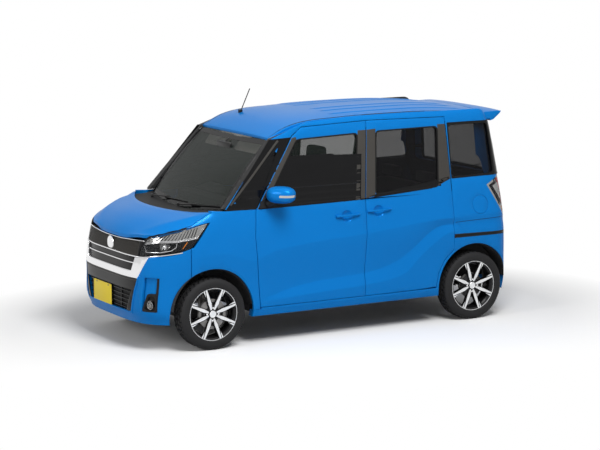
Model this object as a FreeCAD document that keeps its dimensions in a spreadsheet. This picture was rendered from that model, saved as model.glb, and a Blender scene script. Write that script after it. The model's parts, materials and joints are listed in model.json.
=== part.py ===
import FreeCAD, Part
import Sketcher
import functools
import math
import os
import re
from FreeCAD import Placement, Rotation, Vector

# A small tall-bodied car with two hinged front doors, two sliding rear doors and a tailgate.
# Frame: +X forward, +Y to the car's left, +Z up, origin on the ground at mid length.

# Named sizes, in millimetres unless a name ends in degrees or power
SIZES = {
    # overall
    "overall_length": 3395, "half_width": 737.5, "roof_top": 1775, "wheel_base": 2430,
    "front_overhang": 565, "track_front": 1300, "track_rear": 1290, "panel_gap": 5,
    "seat_gap": 0.3, "curve_pitch_along": 60, "curve_pitch_up": 25,
    # plan of the nose and tail
    "nose_start": 900, "nose_power": 4, "tail_start": -1400, "tail_power": 5,
    "nose_low_set": 37, "nose_mid_set": 0, "nose_brow_set": 42, "nose_hood_set": 60,
    "tail_low_set": 8, "tail_lamp_set": 30, "tail_glass_set": 70, "tail_top_set": 140,
    # upright section of the side
    "sill_bottom": 230, "sill_line": 292, "crest_height": 770, "belt_height": 1085,
    "rail_height": 1736, "sill_tuck": 24, "sill_line_tuck": 8, "waist_tuck": 12,
    "belt_tuck": 44, "glass_tuck": 88, "door_top_tuck": 132, "rail_tuck": 168,
    # creases of the side
    "crest_tuck": 6, "ledge_swell": 5, "ramp_dent": 13, "crest_front_height": 756,
    "crest_dip_height": 668, "crest_rear_height": 868, "crease_width": 9, "crease_row_ledge": 400,
    "crease_row_ramp": 525, "crease_row_crest": 775, "crease_fade": 190,
    # roof
    "roof_rear": -1487, "roof_front": 551, "roof_half": 566, "roof_thickness": 24,
    "header_height": 1596, "roof_crown": 34, "roof_drop_rear": 36,
    # hood
    "hood_rear": 1130, "hood_bow": 188, "hood_thickness": 24, "hood_rear_height": 1092,
    "hood_mid_height": 1038, "cowl_drop": 12, "cowl_thickness": 8,
    "hood_nose_height": 872, "hood_edge_rear": 1074, "hood_edge_lamp": 988, "hood_edge_nose": 902,
    # windscreen
    "screen_foot": 1068, "screen_foot_height": 1032, "screen_foot_half": 612,
    "screen_head": 560, "screen_head_height": 1588, "screen_head_half": 560,
    "screen_foot_bow": 73, "screen_foot_rise": 43, "glass_thickness": 5,
    # side openings
    "front_seam_low": 720, "front_seam_mid": 760, "front_seam_belt": 740, "front_seam_head": 369,
    "mid_seam_low": -237, "mid_seam_belt": -259, "mid_seam_head": -322, "rear_seam": -1088,
    "door_head": 1697, "door_foot": 300, "skin_depth": 46, "door_depth": 112, "side_depth": 66,
    "door_edge": 52, "cup_ball": 72, "cup_depth": 19, "front_cup_place": -76,
    "front_cup_height": 965, "rear_cup_place": -374, "rear_cup_height": 984,
    "front_window_foot": 668, "front_window_head": 334, "front_window_back": -168,
    "front_window_back_head": -232, "window_foot": 1088, "window_head": 1606,
    "rear_window_foot": -356, "rear_window_head": -402, "rear_window_back": -962,
    "rear_window_foot_back": 1130, "quarter_front": -1096, "quarter_back_head": -1490,
    "quarter_back_foot": -1522, "quarter_foot": 1200,
    "light_front": 936, "light_rear": 706, "light_top": 500, "light_foot": 1128,
    "light_mid": 632, "light_mid_height": 1285, "light_top_height": 1538, "light_round": 9,
    "window_round": 38,
    # wheel arches
    "arch_radius": 350, "arch_lift": 9,
    # front end
    "bumper_seam": 1318, "fascia_thickness": 26,
    "lamp_tip": 1154, "lamp_tip_height": 997, "lamp_back": 1240, "lamp_back_height": 887,
    "lamp_low": 1296, "lamp_low_height": 821, "lamp_mid": 1463, "lamp_mid_height": 769,
    "lamp_front_height": 752, "lamp_nose_height": 878,
    "grille_half_top": 420, "grille_half_mid": 520, "grille_half_foot": 440,
    "grille_top": 842, "grille_mid": 735, "grille_foot": 567, "grille_inner_half": 335,
    "intake_top": 479, "intake_foot": 300,
    "intake_half_top": 411, "intake_half_foot": 330, "fog_half_low": 560, "fog_half_high": 625,
    "fog_top": 586, "fog_foot": 320, "plate_height": 165,
    "plate_shift": -75, "plate_middle": 388, "plate_pitch": 210, "plate_hole": 3.5,
    # rear end
    "tail_lamp_top": 1195, "tail_lamp_foot": 851, "tail_lamp_front": -1437,
    "tail_lamp_front_height": 1114, "tail_lamp_foot_back": -1598, "gate_half_top": 540,
    "gate_half_low": 606, "gate_foot": 500, "gate_waist": 1150, "gate_top": 1642,
    "gate_thickness": 70, "gate_notch_top": 900, "rear_bumper_front": -1592, "rear_bumper_top": 838,
    "spoiler_reach": -1672, "spoiler_height": 1700,
    "gate_glass_foot": 1190, "gate_glass_head": 1610, "gate_glass_half": 545,
    "flap_middle": -1360, "flap_height": 958, "flap_radius": 75,
    # wheels
    "tyre_radius": 281, "tyre_width": 165, "rim_radius": 204, "rim_width": 150,
    "rim_barrel": 182, "spoke_count": 8, "hub_radius": 62,
    "hub_bore": 54, "axle_stub": 26, "wheel_offset": 45,
    # steering and suspension
    "kingpin_low": 565, "kingpin_high": 480, "kingpin_low_height": 190,
    "kingpin_high_height": 800, "spring_radius": 44, "disc_radius": 118, "disc_thickness": 12,
    "trail_top": 310,
    # structure
    "floor_height": 262, "floor_thickness": 26, "floor_half": 653, "kick_height": 400,
    "kick_place": -800, "load_board_half": 500, "bulkhead": 756, "bulkhead_top": 1000,
    "inner_arch_front": 400, "inner_arch_rear": 536, "liner_thickness": 7,
    "member_rear": 760, "member_front": 1600, "member_inner": 332, "member_outer": 392,
    "member_foot": 340, "member_top": 430, "frame_top": 550, "beam_foot": 500, "beam_half": 240,
    "apron_rear": 780, "apron_front": 1300, "apron_inner": 515, "apron_outer": 550,
    "apron_foot": 870, "apron_top": 930, "strap_rear": 1216, "strap_front": 1246,
    "strap_inner": 500, "strap_foot": 996, "strap_top": 1040, "post_top": 1022,
    # engine and tank
    "engine_rear": 1010, "engine_front": 1490, "engine_foot": 300, "engine_top": 820,
    "tank_half_length": 300, "tank_half": 340, "tank_foot": 180,
    # cabin
    "seat_half_spacing": 320, "seat_width": 430, "seat_height": 560, "cushion_thickness": 150,
    "seat_front": 500, "seat_back": 70, "driver_slide": 130, "back_height": 1200,
    "back_thickness": 130,
    "rear_seat_front": -560, "rear_seat_back": -1010, "rear_seat_width": 1040,
    "dash_rear": 560, "dash_top": 1090, "dash_foot": 700, "dash_half": 572, "dash_brow": 1075,
    "dash_knee": 850,
    "helm_radius": 180, "helm_tube": 14, "helm_place": 330, "helm_height": 1004,
    "helm_side": -350, "helm_tilt_degrees": 28,
    # mirror
    "mirror_front": 706, "mirror_rear": 540, "mirror_foot": 1122, "mirror_top": 1258,
    "mirror_inner": 728, "mirror_outer": 858,
}

doc = FreeCAD.newDocument("SmallCar")
sheet = doc.addObject("Spreadsheet::Sheet", "Sizes")
for row, (alias, number) in enumerate(SIZES.items(), 1):
    sheet.set("A%d" % row, alias.replace("_", " "))
    sheet.set("B%d" % row, str(number))
    sheet.setAlias("B%d" % row, alias)
doc.recompute()


@functools.cache
def value(formula):
    """Number that a sum or product of named sizes gives"""
    if not isinstance(formula, str):
        return float(formula)
    total = 0.0
    for sign, term in re.findall(r"([+-]?)([^+-]+)", formula.replace(" ", "")):
        product = 1.0
        for over, factor in re.findall(r"([*/]?)([\w.]+)", term):
            number = float(sheet.get(factor)) if factor[0].isalpha() else float(factor)
            product = product / number if over == "/" else product * number
        total += -product if sign == "-" else product
    return total


def bind(item, name, formula):
    """Bind one property of an object to a formula of named sizes"""
    if isinstance(formula, str):
        item.setExpression(name, re.sub(r"[A-Za-z_]\w*", r"Sizes.\g<0>", formula))


def curve(place, stations):
    """Height of a smooth curve through the stations, level beyond them"""
    return curve_at(place, tuple(stations))


@functools.cache
def curve_at(place, stations):
    """Height of the curve at one place"""
    stations = [(value(a), value(b)) for a, b in stations]
    if place <= stations[0][0]:
        return stations[0][1]
    if place >= stations[-1][0]:
        return stations[-1][1]
    slopes = [0.0] * len(stations)
    for k in range(1, len(stations) - 1):
        before, after = stations[k - 1], stations[k + 1]
        slopes[k] = (after[1] - before[1]) / (after[0] - before[0])
    slopes[0] = (stations[1][1] - stations[0][1]) / (stations[1][0] - stations[0][0])
    slopes[-1] = (stations[-1][1] - stations[-2][1]) / (stations[-1][0] - stations[-2][0])
    k = max(i for i in range(len(stations) - 1) if stations[i][0] <= place)
    (a, low), (b, high) = stations[k], stations[k + 1]
    part = (place - a) / (b - a)
    blend = part * part * (3 - 2 * part)
    bend = (b - a) * part * (1 - part)
    return low + (high - low) * blend + bend * (slopes[k] * (1 - part) - slopes[k + 1] * part)


HALF_LENGTH = value("overall_length/2")
FRONT_AXLE = value("overall_length/2-front_overhang")
REAR_AXLE = value("overall_length/2-front_overhang-wheel_base")
GAP = value("panel_gap")
FRONT_AXLE_TEXT = "overall_length/2-front_overhang"
REAR_AXLE_TEXT = "overall_length/2-front_overhang-wheel_base"


# Body surfaces
TUCK = [("sill_bottom", "sill_tuck"), ("sill_line", "sill_line_tuck"), (520, "waist_tuck"),
        ("crest_height", "crest_tuck"), (920, "waist_tuck+5"), ("belt_height", "belt_tuck"),
        (1360, "glass_tuck"), (1620, "door_top_tuck"), ("rail_height", "rail_tuck"),
        (1800, "rail_tuck+90")]
# Lines of the side's creases, front to rear: a crest, a ramp under it and a ledge at its foot
CREST = [(-1500, "crest_rear_height"), (-1000, "crest_rear_height"), (-689, 846), (-232, 804),
         (127, 786), (390, 764), (562, 745), (677, 708), ("front_seam_mid", "crest_dip_height"),
         (860, 690), (960, 735), (1082, "crest_front_height"), (1221, 742), (1400, 705)]
RAMP = [(-1500, 850), (-1050, 850), (-1002, 842), (-858, 763), (-699, 640), (-556, 556), (-358, 497),
        (-58, 472), (236, 454), (527, 408), (649, 358), (1400, 350)]
LEDGE = [(-1560, 806), (-1300, 790), (-1081, 767), (-984, 726), (-855, 640), (-712, 530),
         (-640, 455), (-440, 408), (-234, 388), (94, 374), (387, 360), (654, 345), (1400, 325)]


def crease_lines(x):
    """Heights of the ledge, ramp and crest at a place, kept apart from each other"""
    x = max(x, value("tail_start+80"))
    crest = curve(x, CREST)
    ledge = min(curve(x, LEDGE), crest - 112)
    ramp = min(max(curve(x, RAMP), ledge + 34), crest - 56)
    return ledge, ramp, crest


def through(place, corners):
    """Height of a line with corners at the given places"""
    for (a, low), (b, high) in zip(corners, corners[1:]):
        if place <= b:
            return low + (high - low) * max(place - a, 0) / (b - a)
    return corners[-1][1]


def crease(x, z):
    """How far the pressed lines of the side stand out from its plain section"""
    ledge, ramp, crest = crease_lines(x)
    low_fade = curve(max(x, value("tail_start+80")), [(-1320, 0.6), (-1000, 1), (300, 1), (600, 0.5),
                                                      (690, 0)])
    fade = curve(x, [(1000, 1), (1330, 0)])
    low = value("sill_line")
    return through(z, [(low, 0), (ledge, value("ledge_swell") * low_fade),
                       (ramp, -value("ramp_dent") * low_fade),
                       (crest, value("crest_tuck") * fade), (crest + 75, 0)])


def row_height(x, row):
    """Height of a row of the side's surface, which follows the creases"""
    low, high = value("sill_line"), value("belt_height")
    if not low < row < high:
        return row
    width, pitch = value("crease_width"), value("curve_pitch_up")
    corners = [(low, low)]
    for line, name in zip(crease_lines(x), ("ledge", "ramp", "crest")):
        middle = value("crease_row_" + name)
        corners += [(middle - pitch, line - width), (middle, line), (middle + pitch, line + width)]
    corners.append((high, high))
    share = curve(x, [("tail_start+80", 0), ("tail_start+80+crease_fade", 1)])
    return row + share * (through(row, corners) - row)


def nose(z):
    """Foremost point of the nose at a height"""
    return HALF_LENGTH - curve(z, [(216, "nose_low_set"), (310, 0), (560, "nose_mid_set"),
                                   (640, 6), (740, 20), (845, "nose_brow_set"),
                                   (900, "nose_hood_set"), (960, 115), (1010, 200), (1070, 380)])


def tail(z):
    """Rearmost point of the tail at a height"""
    return -HALF_LENGTH + curve(z, [(216, "tail_low_set"), (330, 0), (560, 0), (700, 8),
                                    (1000, "tail_lamp_set"), (1250, "tail_glass_set"),
                                    (1640, "tail_top_set"), (1780, "tail_top_set+60")])


def side(x, z):
    """Half width of the body at a place along it and a height"""
    half = value("half_width") - curve(z, TUCK)
    start, power = value("nose_start"), value("nose_power")
    if x > start:
        share = min((x - start) / (nose(z) - start), 0.985)
        half *= (1 - share ** power) ** (1 / power)
    return half + crease(x, z)


def roof(x, y):
    """Height of the roof over a point"""
    line = curve(x, [(-1700, "roof_top-roof_drop_rear-40"), (-1487, "roof_top-roof_drop_rear-12"),
                     (-1000, "roof_top-6"), (-500, "roof_top"), (-100, "roof_top-8"),
                     (200, "roof_top-30"), (400, "roof_top-80"), (560, "header_height+8"),
                     (700, "header_height-90")])
    crown = curve(x, [(0, "roof_crown"), (400, "roof_crown/2"), (600, 4)])
    return line - crown * (abs(y) / value("roof_half")) ** 3


HOOD_EDGE = [(1100, "hood_edge_rear+4"), (1132, "hood_edge_rear"), (1200, 1042),
             (1300, "hood_edge_lamp"), (1450, 945), (1604, "hood_edge_nose"), (1700, 884)]


HOOD_RIDGE = [(1132, 1077), (1190, 1060), (1295, 1038), (1390, 1012), (1455, 992), (1515, 966),
              (1604, 914), (1660, 858)]
RIDGE_SHARE = [(1132, 0.985), (1190, 0.93), (1295, 0.905), (1390, 0.86), (1515, 0.80), (1604, 0.72),
               (1660, 0.62)]


def hood(x, y):
    """Height of the hood over a point, with a ridge that runs along each side"""
    swept = x + 25 * (y / 400) ** 2
    line = curve(swept, [(1040, "hood_rear_height+14"), (1132, "hood_rear_height"),
                         (1250, 1074), (1400, "hood_mid_height"), (1500, 1003), (1580, 953),
                         (1620, 918), (1645, 884), (1662, "hood_nose_height-16"), (1700, 780)])
    edge = curve(x, HOOD_EDGE)
    share = min(abs(y) / side(x, edge), 1.15)
    ridge_share = curve(x, RIDGE_SHARE)
    ridge = min(curve(x, HOOD_RIDGE), line - 2)
    if share < ridge_share:
        return line - (line - ridge) * (share / ridge_share) ** 2.4
    return ridge - (ridge - edge) * (share - ridge_share) / (1 - ridge_share)


def hood_rear_edge(y):
    """Place of the hood's rear edge, which bows forward at the middle"""
    share = min(abs(y) / value("screen_foot_half+48"), 1)
    return value("hood_rear+hood_bow") - value("hood_bow") * share ** 2.2


def lattice_surface(rows, start_u, pitch_u, start_v, pitch_v, ends):
    """Smooth surface over an even lattice of points, trimmed to its ends"""
    knots_u = [start_u + (j - 2) * pitch_u for j in range(len(rows) + 4)]
    knots_v = [start_v + (j - 2) * pitch_v for j in range(len(rows[0]) + 4)]
    surface = Part.BSplineSurface()
    surface.buildFromPolesMultsKnots(rows, [1] * len(knots_u), [1] * len(knots_v),
                                     knots_u, knots_v, False, False, 3, 3)
    surface.segment(*ends)
    return surface


def patch(height, low_u, high_u, low_v, high_v, pitch_u, pitch_v, place):
    """Surface of a height function between four ends"""
    first_u, last_u = math.floor(low_u / pitch_u) - 1, math.ceil(high_u / pitch_u) + 1
    first_v, last_v = math.floor(low_v / pitch_v) - 1, math.ceil(high_v / pitch_v) + 1
    rows = []
    for i in range(first_u, last_u + 1):
        rows.append([place(i * pitch_u, k * pitch_v, height(i * pitch_u, k * pitch_v))
                     for k in range(first_v, last_v + 1)])
    return lattice_surface(rows, first_u * pitch_u, pitch_u, first_v * pitch_v, pitch_v,
                           (low_u, high_u, low_v, high_v))


def feature(name, shape):
    """Document object that holds a shape made from the surfaces"""
    item = doc.addObject("Part::Feature", name)
    item.Shape = shape
    return item


def side_slab(name, x_low, x_high, z_low, z_high, depth, thickness):
    """Piece of the left side's wall between two depths under its surface"""
    along, up = value("curve_pitch_along"), value("curve_pitch_up")
    first_x, last_x = math.floor(x_low / along) - 1, math.ceil(x_high / along) + 1
    first_z, last_z = math.floor(z_low / up) - 1, math.ceil(z_high / up) + 1
    columns = []
    for i in range(first_x, last_x + 1):
        x = i * along
        heights = [row_height(x, k * up) for k in range(first_z, last_z + 1)]
        columns.append([Vector(x, side(x, z) - depth, z) for z in heights])
    surface = lattice_surface(columns, first_x * along, along, first_z * up, up,
                              (x_low, x_high, z_low, z_high))
    return feature(name, surface.toShape().extrude(Vector(0, -thickness, 0)))


def cover_slab(name, height, x_low, x_high, half, lift, thickness, pitch=(45, 60)):
    """Piece of a roof or hood, between a lift above its surface and a thickness below"""
    surface = patch(height, x_low, x_high, -half, half, *pitch,
                    lambda x, y, z: Vector(x, y, z + lift))
    return feature(name, surface.toShape().extrude(Vector(0, 0, -thickness - lift)))


def wrap_block(name, reach, start, power, direction, z_low, z_high, depth):
    """Solid end of the body, whose plan is a rounded rectangle, set in by a depth"""
    step_count, pitch = 40, value("curve_pitch_up")
    turn = math.pi / step_count
    first, last = math.floor(z_low / pitch) - 1, math.ceil(z_high / pitch) + 1
    rows = []
    for i in range(-2, step_count + 3):
        angle = -math.pi / 2 + i * turn
        column = []
        for k in range(first, last + 1):
            z = k * pitch
            long_half = abs(reach(z) - start) - depth
            wide_half = side(value("tail_start") if direction < 0 else 0, z) - depth
            if direction > 0:
                wide_half = value("half_width") - curve(z, TUCK) - depth
            radius = (abs(math.cos(angle) / long_half) ** power
                      + abs(math.sin(angle) / wide_half) ** power) ** (-1 / power)
            across = radius * math.sin(angle)
            if min(i, step_count - i) < 2:
                across = math.copysign(wide_half, across)
            column.append(Vector(start + direction * radius * math.cos(angle), across, z))
        rows.append(column)
    outer = lattice_surface(rows, -2 * turn, turn, first * pitch, pitch,
                            (0, math.pi, z_low, z_high)).toShape()
    walls = [outer]
    rims = []
    for z in (z_low, z_high):
        rim = [e for e in outer.Edges if abs(e.BoundBox.ZMin - z) + abs(e.BoundBox.ZMax - z) < 0.01]
        ends = [rim[0].Vertexes[0].Point, rim[0].Vertexes[-1].Point]
        rims.append(ends if ends[0].y < ends[1].y else ends[::-1])
        walls.append(Part.Face(Part.Wire([rim[0], Part.makeLine(ends[0], ends[1])])))
    posts = [e for e in outer.Edges if e.BoundBox.ZLength > z_high - z_low - 0.01]
    posts = [e for e in posts if e.BoundBox.XLength < 1]
    back = posts + [Part.makeLine(*rims[0]), Part.makeLine(*rims[1])]
    walls.append(Part.Face(Part.Wire(Part.__sortEdges__(back))))
    shell = Part.Compound(walls)
    shell.sewShape()
    solid = Part.Solid(Part.Shell(shell.Faces))
    if solid.Volume < 0:
        solid.reverse()
    return feature(name, solid)


# Outlines and booleans
PLANES = {"side": Rotation(Vector(1, 0, 0), 90), "plan": Rotation(),
          "front": Rotation(Vector(1, 1, 1), 120)}
DIRECTIONS = {"side": Vector(0, 1, 0), "plan": Vector(0, 0, 1), "front": Vector(1, 0, 0)}
DEPTH_AXIS = {"side": "y", "plan": "z", "front": "x"}


def prism(name, plane, corners, start, end, rounds=None):
    """Solid pushed out from a closed outline whose corners are formulas of named sizes"""
    sketch = doc.addObject("Sketcher::SketchObject", name + "Outline")
    sketch.Placement = Placement(DIRECTIONS[plane] * value(start), PLANES[plane])
    bind(sketch, "Placement.Base." + DEPTH_AXIS[plane], start)
    points = [Vector(value(a), value(b), 0) for a, b in corners]
    count = len(points)
    lines = [Part.LineSegment(points[i], points[(i + 1) % count]) for i in range(count)]
    sketch.addGeometry(lines, False)
    sketch.addConstraint([Sketcher.Constraint("Coincident", i, 2, (i + 1) % count, 1)
                          for i in range(count)])
    for i, (a, b) in enumerate(corners):
        for kind, formula, number in (("DistanceX", a, points[i].x), ("DistanceY", b, points[i].y)):
            index = sketch.addConstraint(Sketcher.Constraint(kind, i, 1, number))
            bind(sketch, "Constraints[%d]" % index, formula)
    push = doc.addObject("Part::Extrusion", name)
    push.Base = sketch
    push.DirMode = "Custom"
    push.Dir = DIRECTIONS[plane]
    push.Solid = True
    push.LengthFwd = value(end) - value(start)
    if isinstance(start, str) or isinstance(end, str):
        first = start if isinstance(start, str) else "%g" % start
        turned = first.translate(str.maketrans("+-", "-+"))
        bind(push, "LengthFwd", ("%s-%s" % (end, turned)).replace("--", "+").replace("-+", "+"))
    if not rounds:
        return push
    sketch.recompute()
    push.recompute()
    fillet = doc.addObject("Part::Fillet", name + "Rounds")
    fillet.Base = push
    chosen = []
    for k, radius in rounds.items():
        for number, edge in enumerate(push.Shape.Edges, 1):
            ends = [sketch.Placement.inverse().multVec(v.Point) for v in edge.Vertexes]
            near = [abs(p.x - points[k].x) + abs(p.y - points[k].y) < 0.01 for p in ends]
            if all(near):
                chosen.append((number, value(radius), value(radius)))
    fillet.Edges = chosen
    return fillet


def box(name, low, high):
    """Plain block between two corners given as formulas"""
    item = doc.addObject("Part::Box", name)
    for axis, size_name, a, b in zip("xyz", ("Length", "Width", "Height"), low, high):
        setattr(item.Placement.Base, axis, value(a))
        setattr(item, size_name, value(b) - value(a))
    base = Vector(*[value(a) for a in low])
    item.Placement = Placement(base, Rotation())
    return item


def rod(name, radius, length, base, direction=Vector(0, 0, 1)):
    """Round bar from a base point along a direction"""
    item = doc.addObject("Part::Cylinder", name)
    item.Radius = value(radius)
    bind(item, "Radius", radius)
    item.Height = value(length)
    bind(item, "Height", length)
    item.Placement = Placement(Vector(*[value(p) for p in base]),
                               Rotation(Vector(0, 0, 1), direction))
    return item


def common(name, *items):
    """What several solids share"""
    item = doc.addObject("Part::MultiCommon", name)
    item.Shapes = list(items)
    return item


def fuse(name, *items):
    """Several solids joined"""
    item = doc.addObject("Part::MultiFuse", name)
    item.Shapes = list(items)
    return item


def cut(name, base, *tools):
    """A solid less others"""
    tool = tools[0] if len(tools) == 1 else fuse(name + "Tools", *tools)
    item = doc.addObject("Part::Cut", name)
    item.Base, item.Tool = base, tool
    return item


def mirrored(name, source):
    """The right-hand twin of a left-hand piece"""
    item = doc.addObject("Part::Mirroring", name)
    item.Source = source
    item.Base = Vector(0, 0, 0)
    item.Normal = Vector(0, 1, 0)
    return item


NODES = {}


def node(label, item):
    """Name a finished piece"""
    item.Label = label
    NODES[label] = item
    return item


def pair(label, item):
    """Name a left piece and make and name its right twin"""
    node(label + "_left", item)
    twin = mirrored(item.Name + "Twin", item)
    return node(label + "_right", twin)


def arch_point(axle, angle_degrees, extra):
    """Point round a wheel arch, outside it by an extra distance"""
    radius = value("arch_radius") + extra
    angle = math.radians(angle_degrees)
    return (axle + radius * math.cos(angle), ARCH_HEIGHT + radius * math.sin(angle))


ARCH_HEIGHT = value("tyre_radius+arch_lift")
REACH = 900

# Side openings, as outlines seen from the side
FRONT_DOOR = [("front_seam_low", "door_foot"), ("front_seam_mid", "crest_height+90"),
              ("front_seam_belt", "belt_height-20"), ("front_seam_head", "door_head-82"),
              ("front_seam_head-90", "door_head-20"), ("mid_seam_head+panel_gap/2", "door_head"),
              ("mid_seam_belt+panel_gap/2", "belt_height"),
              ("mid_seam_low+panel_gap/2", "door_foot")]
REAR_DOOR = [("mid_seam_low-panel_gap/2", "door_foot"),
             ("mid_seam_belt-panel_gap/2", "belt_height"),
             ("mid_seam_head-panel_gap/2", "door_head"), ("rear_seam+18", "door_head-10"),
             ("rear_seam", "belt_height"), arch_point(REAR_AXLE, 57, 28),
             arch_point(REAR_AXLE, 38, 28), arch_point(REAR_AXLE, 20, 28),
             arch_point(REAR_AXLE, 2, 28)]
OPENING = [("front_seam_low+panel_gap", "door_foot-panel_gap"),
           ("front_seam_mid+panel_gap", "crest_height+90"),
           ("front_seam_belt+panel_gap", "belt_height-18"),
           ("front_seam_head+panel_gap", "door_head-78"),
           ("front_seam_head-88", "door_head-14"), ("mid_seam_head", "door_head+panel_gap"),
           ("rear_seam+12", "door_head-5"), ("rear_seam-panel_gap", "belt_height"),
           arch_point(REAR_AXLE, 57, 22), arch_point(REAR_AXLE, 38, 22),
           arch_point(REAR_AXLE, 20, 22), arch_point(REAR_AXLE, 1, 22)]
FRONT_WINDOW = [("front_window_foot", "window_foot-6"), ("front_window_head", "window_head-18"),
                ("front_window_back_head", "window_head"), ("front_window_back", "window_foot")]
REAR_WINDOW = [("rear_window_foot", "window_foot+20"), ("rear_window_head", "window_head+6"),
               ("rear_window_back-34", "window_head+12"),
               ("rear_window_back", "rear_window_foot_back")]
QUARTER_WINDOW = [("quarter_front", "quarter_foot-6"), ("quarter_front+4", "window_head+20"),
                  ("quarter_back_head", "window_head+22"), ("quarter_back_foot", "quarter_foot")]
QUARTER_LIGHT = [("light_front", "light_foot"), ("light_top", "light_top_height"),
                 ("light_mid", "light_mid_height"), ("light_rear", "light_foot+20")]
LAMP = [("lamp_tip", "lamp_tip_height"), ("lamp_back", "lamp_back_height"),
        ("lamp_low", "lamp_low_height"), ("lamp_mid", "lamp_mid_height"),
        ("overall_length/2+40", "lamp_front_height-14"), ("overall_length/2+40", "lamp_nose_height-22"),
        ("overall_length/2-93", "lamp_nose_height")]
FENDER = [("front_seam_low+panel_gap", "sill_line-8"), ("front_seam_mid+panel_gap", "crest_height+90"),
          ("front_seam_belt+panel_gap", "belt_height-10"), ("hood_rear-110", "belt_height-10"),
          ("hood_rear+2", "hood_edge_rear+10"), (1340, "hood_edge_rear+10"), (1340, 955),
          ("lamp_tip-9", "lamp_tip_height+6"), ("lamp_back-5", "lamp_back_height"),
          ("lamp_low-5", "lamp_low_height-5"), ("bumper_seam-panel_gap/2", "lamp_low_height-9"),
          ("bumper_seam-panel_gap/2", "sill_line-8")]
TAIL_LAMP = [("tail_lamp_front-150", "tail_lamp_top"), ("tail_lamp_front", "tail_lamp_front_height"),
             ("tail_lamp_foot_back", "tail_lamp_foot"), (-1800, "tail_lamp_foot"),
             (-1800, "tail_lamp_top")]
GATE = [("gate_half_low", "gate_foot"), ("gate_half_low", "gate_waist"),
        ("gate_half_top", "gate_top"), ("0-gate_half_top", "gate_top"),
        ("0-gate_half_low", "gate_waist"), ("0-gate_half_low", "gate_foot")]


def inner(corners, amount):
    """Outline drawn in by an amount along every edge"""
    points = [(value(a), value(b)) for a, b in corners]
    count = len(points)
    area = sum(points[i][0] * points[(i + 1) % count][1] - points[(i + 1) % count][0] * points[i][1]
               for i in range(count))
    hand = 1 if area > 0 else -1
    drawn = []
    for i in range(count):
        before, here, after = points[i - 1], points[i], points[(i + 1) % count]
        sides = []
        for (ax, az), (bx, bz) in ((before, here), (here, after)):
            length = math.hypot(bx - ax, bz - az)
            sides.append((-(bz - az) / length * hand, (bx - ax) / length * hand))
        (nx, nz), (mx, mz) = sides
        turn = nx * mz - nz * mx
        drawn.append((here[0] + amount * (mz - nz) / turn, here[1] + amount * (nx - mx) / turn))
    return drawn


def around(corners, less_by=0, size="window_round"):
    """Rounding of every corner of a window"""
    return {k: value(size) - less_by for k in range(len(corners))}


def side_prism(name, corners, rounds=None):
    return prism(name, "side", corners, 300, REACH, rounds)


front_arch = rod("FrontArch", "arch_radius", 700, (FRONT_AXLE, 300, ARCH_HEIGHT), Vector(0, 1, 0))
rear_arch = rod("RearArch", "arch_radius", 700, (REAR_AXLE, 300, ARCH_HEIGHT), Vector(0, 1, 0))


# Shells of the nose and tail
def nose_shell(name, z_low, z_high, depth, thickness):
    outer = wrap_block(name + "Outer", nose, value("nose_start"), value("nose_power"), 1,
                       z_low, z_high, depth)
    hollow = wrap_block(name + "Hollow", nose, value("nose_start"), value("nose_power"), 1,
                        z_low - 1, z_high + 1, depth + thickness)
    return cut(name, outer, hollow)


def tail_shell(name, z_low, z_high, depth, thickness):
    outer = wrap_block(name + "Outer", tail, value("tail_start"), value("tail_power"), -1,
                       z_low, z_high, depth)
    hollow = wrap_block(name + "Hollow", tail, value("tail_start"), value("tail_power"), -1,
                        z_low - 1, z_high + 1, depth + thickness)
    return cut(name, outer, hollow)


# Windscreen
def screen_rows(grow):
    """Points of the windscreen's outer face, foot row first"""
    rows = []
    for step in range(7):
        up = step / 6
        half = value("screen_foot_half") * (1 - up) + value("screen_head_half") * up + grow
        row = []
        for place in range(-4, 5):
            share = place / 4
            bulge = 14 * math.sin(math.pi * up)
            x = value("screen_foot") * (1 - up) + value("screen_head") * up + bulge * 0.7
            z = (value("screen_foot_height") * (1 - up) + value("screen_head_height") * up
                 + bulge * 0.7)
            x -= (value("screen_foot_bow") * (1 - up) + 3 * up) * share ** 2
            z += value("screen_foot_rise") * (1 - up) * share ** 2
            row.append(Vector(x, half * share, z))
        rows.append(row)
    return rows


screen_surface = Part.BSplineSurface()
screen_surface.interpolate(screen_rows(0))
inward = Vector(-0.7, 0, -0.7) * value("glass_thickness")
node("windscreen", feature("Windscreen", screen_surface.toShape().extrude(inward)))
wide_screen = Part.BSplineSurface()
wide_screen.interpolate(screen_rows(value("seat_gap")))
outward = Vector(50, 0, 50)
zone_face = wide_screen.toShape().translated(outward)
screen_zone = feature("ScreenZone", zone_face.extrude(inward * 1.06 - outward))


# Doors
def handle_cup(name, place, height):
    """Ball that leaves a dished hollow behind a door handle"""
    ball = doc.addObject("Part::Sphere", name)
    ball.Radius = value("cup_ball")
    surface = side(place, height)
    ball.Placement.Base = Vector(place, surface + value("cup_ball-cup_depth"), height)
    return ball


def door(label, corners, window, inset, x_low, x_high, cup):
    skin = side_slab(label + "Skin", x_low, x_high, 290, 1710, 0, value("skin_depth"))
    deep = side_slab(label + "Deep", x_low, x_high, 290, 1100, value("skin_depth") - 1,
                     value("door_depth-skin_depth") + 1)
    skin_part = common(label + "SkinPart", skin, side_prism(label + "Outline", corners))
    deep_part = common(label + "DeepPart", deep, side_prism(label + "Inset", inset))
    hole = side_prism(label + "Window", window, around(window))
    return cut(label, fuse(label + "Whole", skin_part, deep_part), hole, cup)


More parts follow.
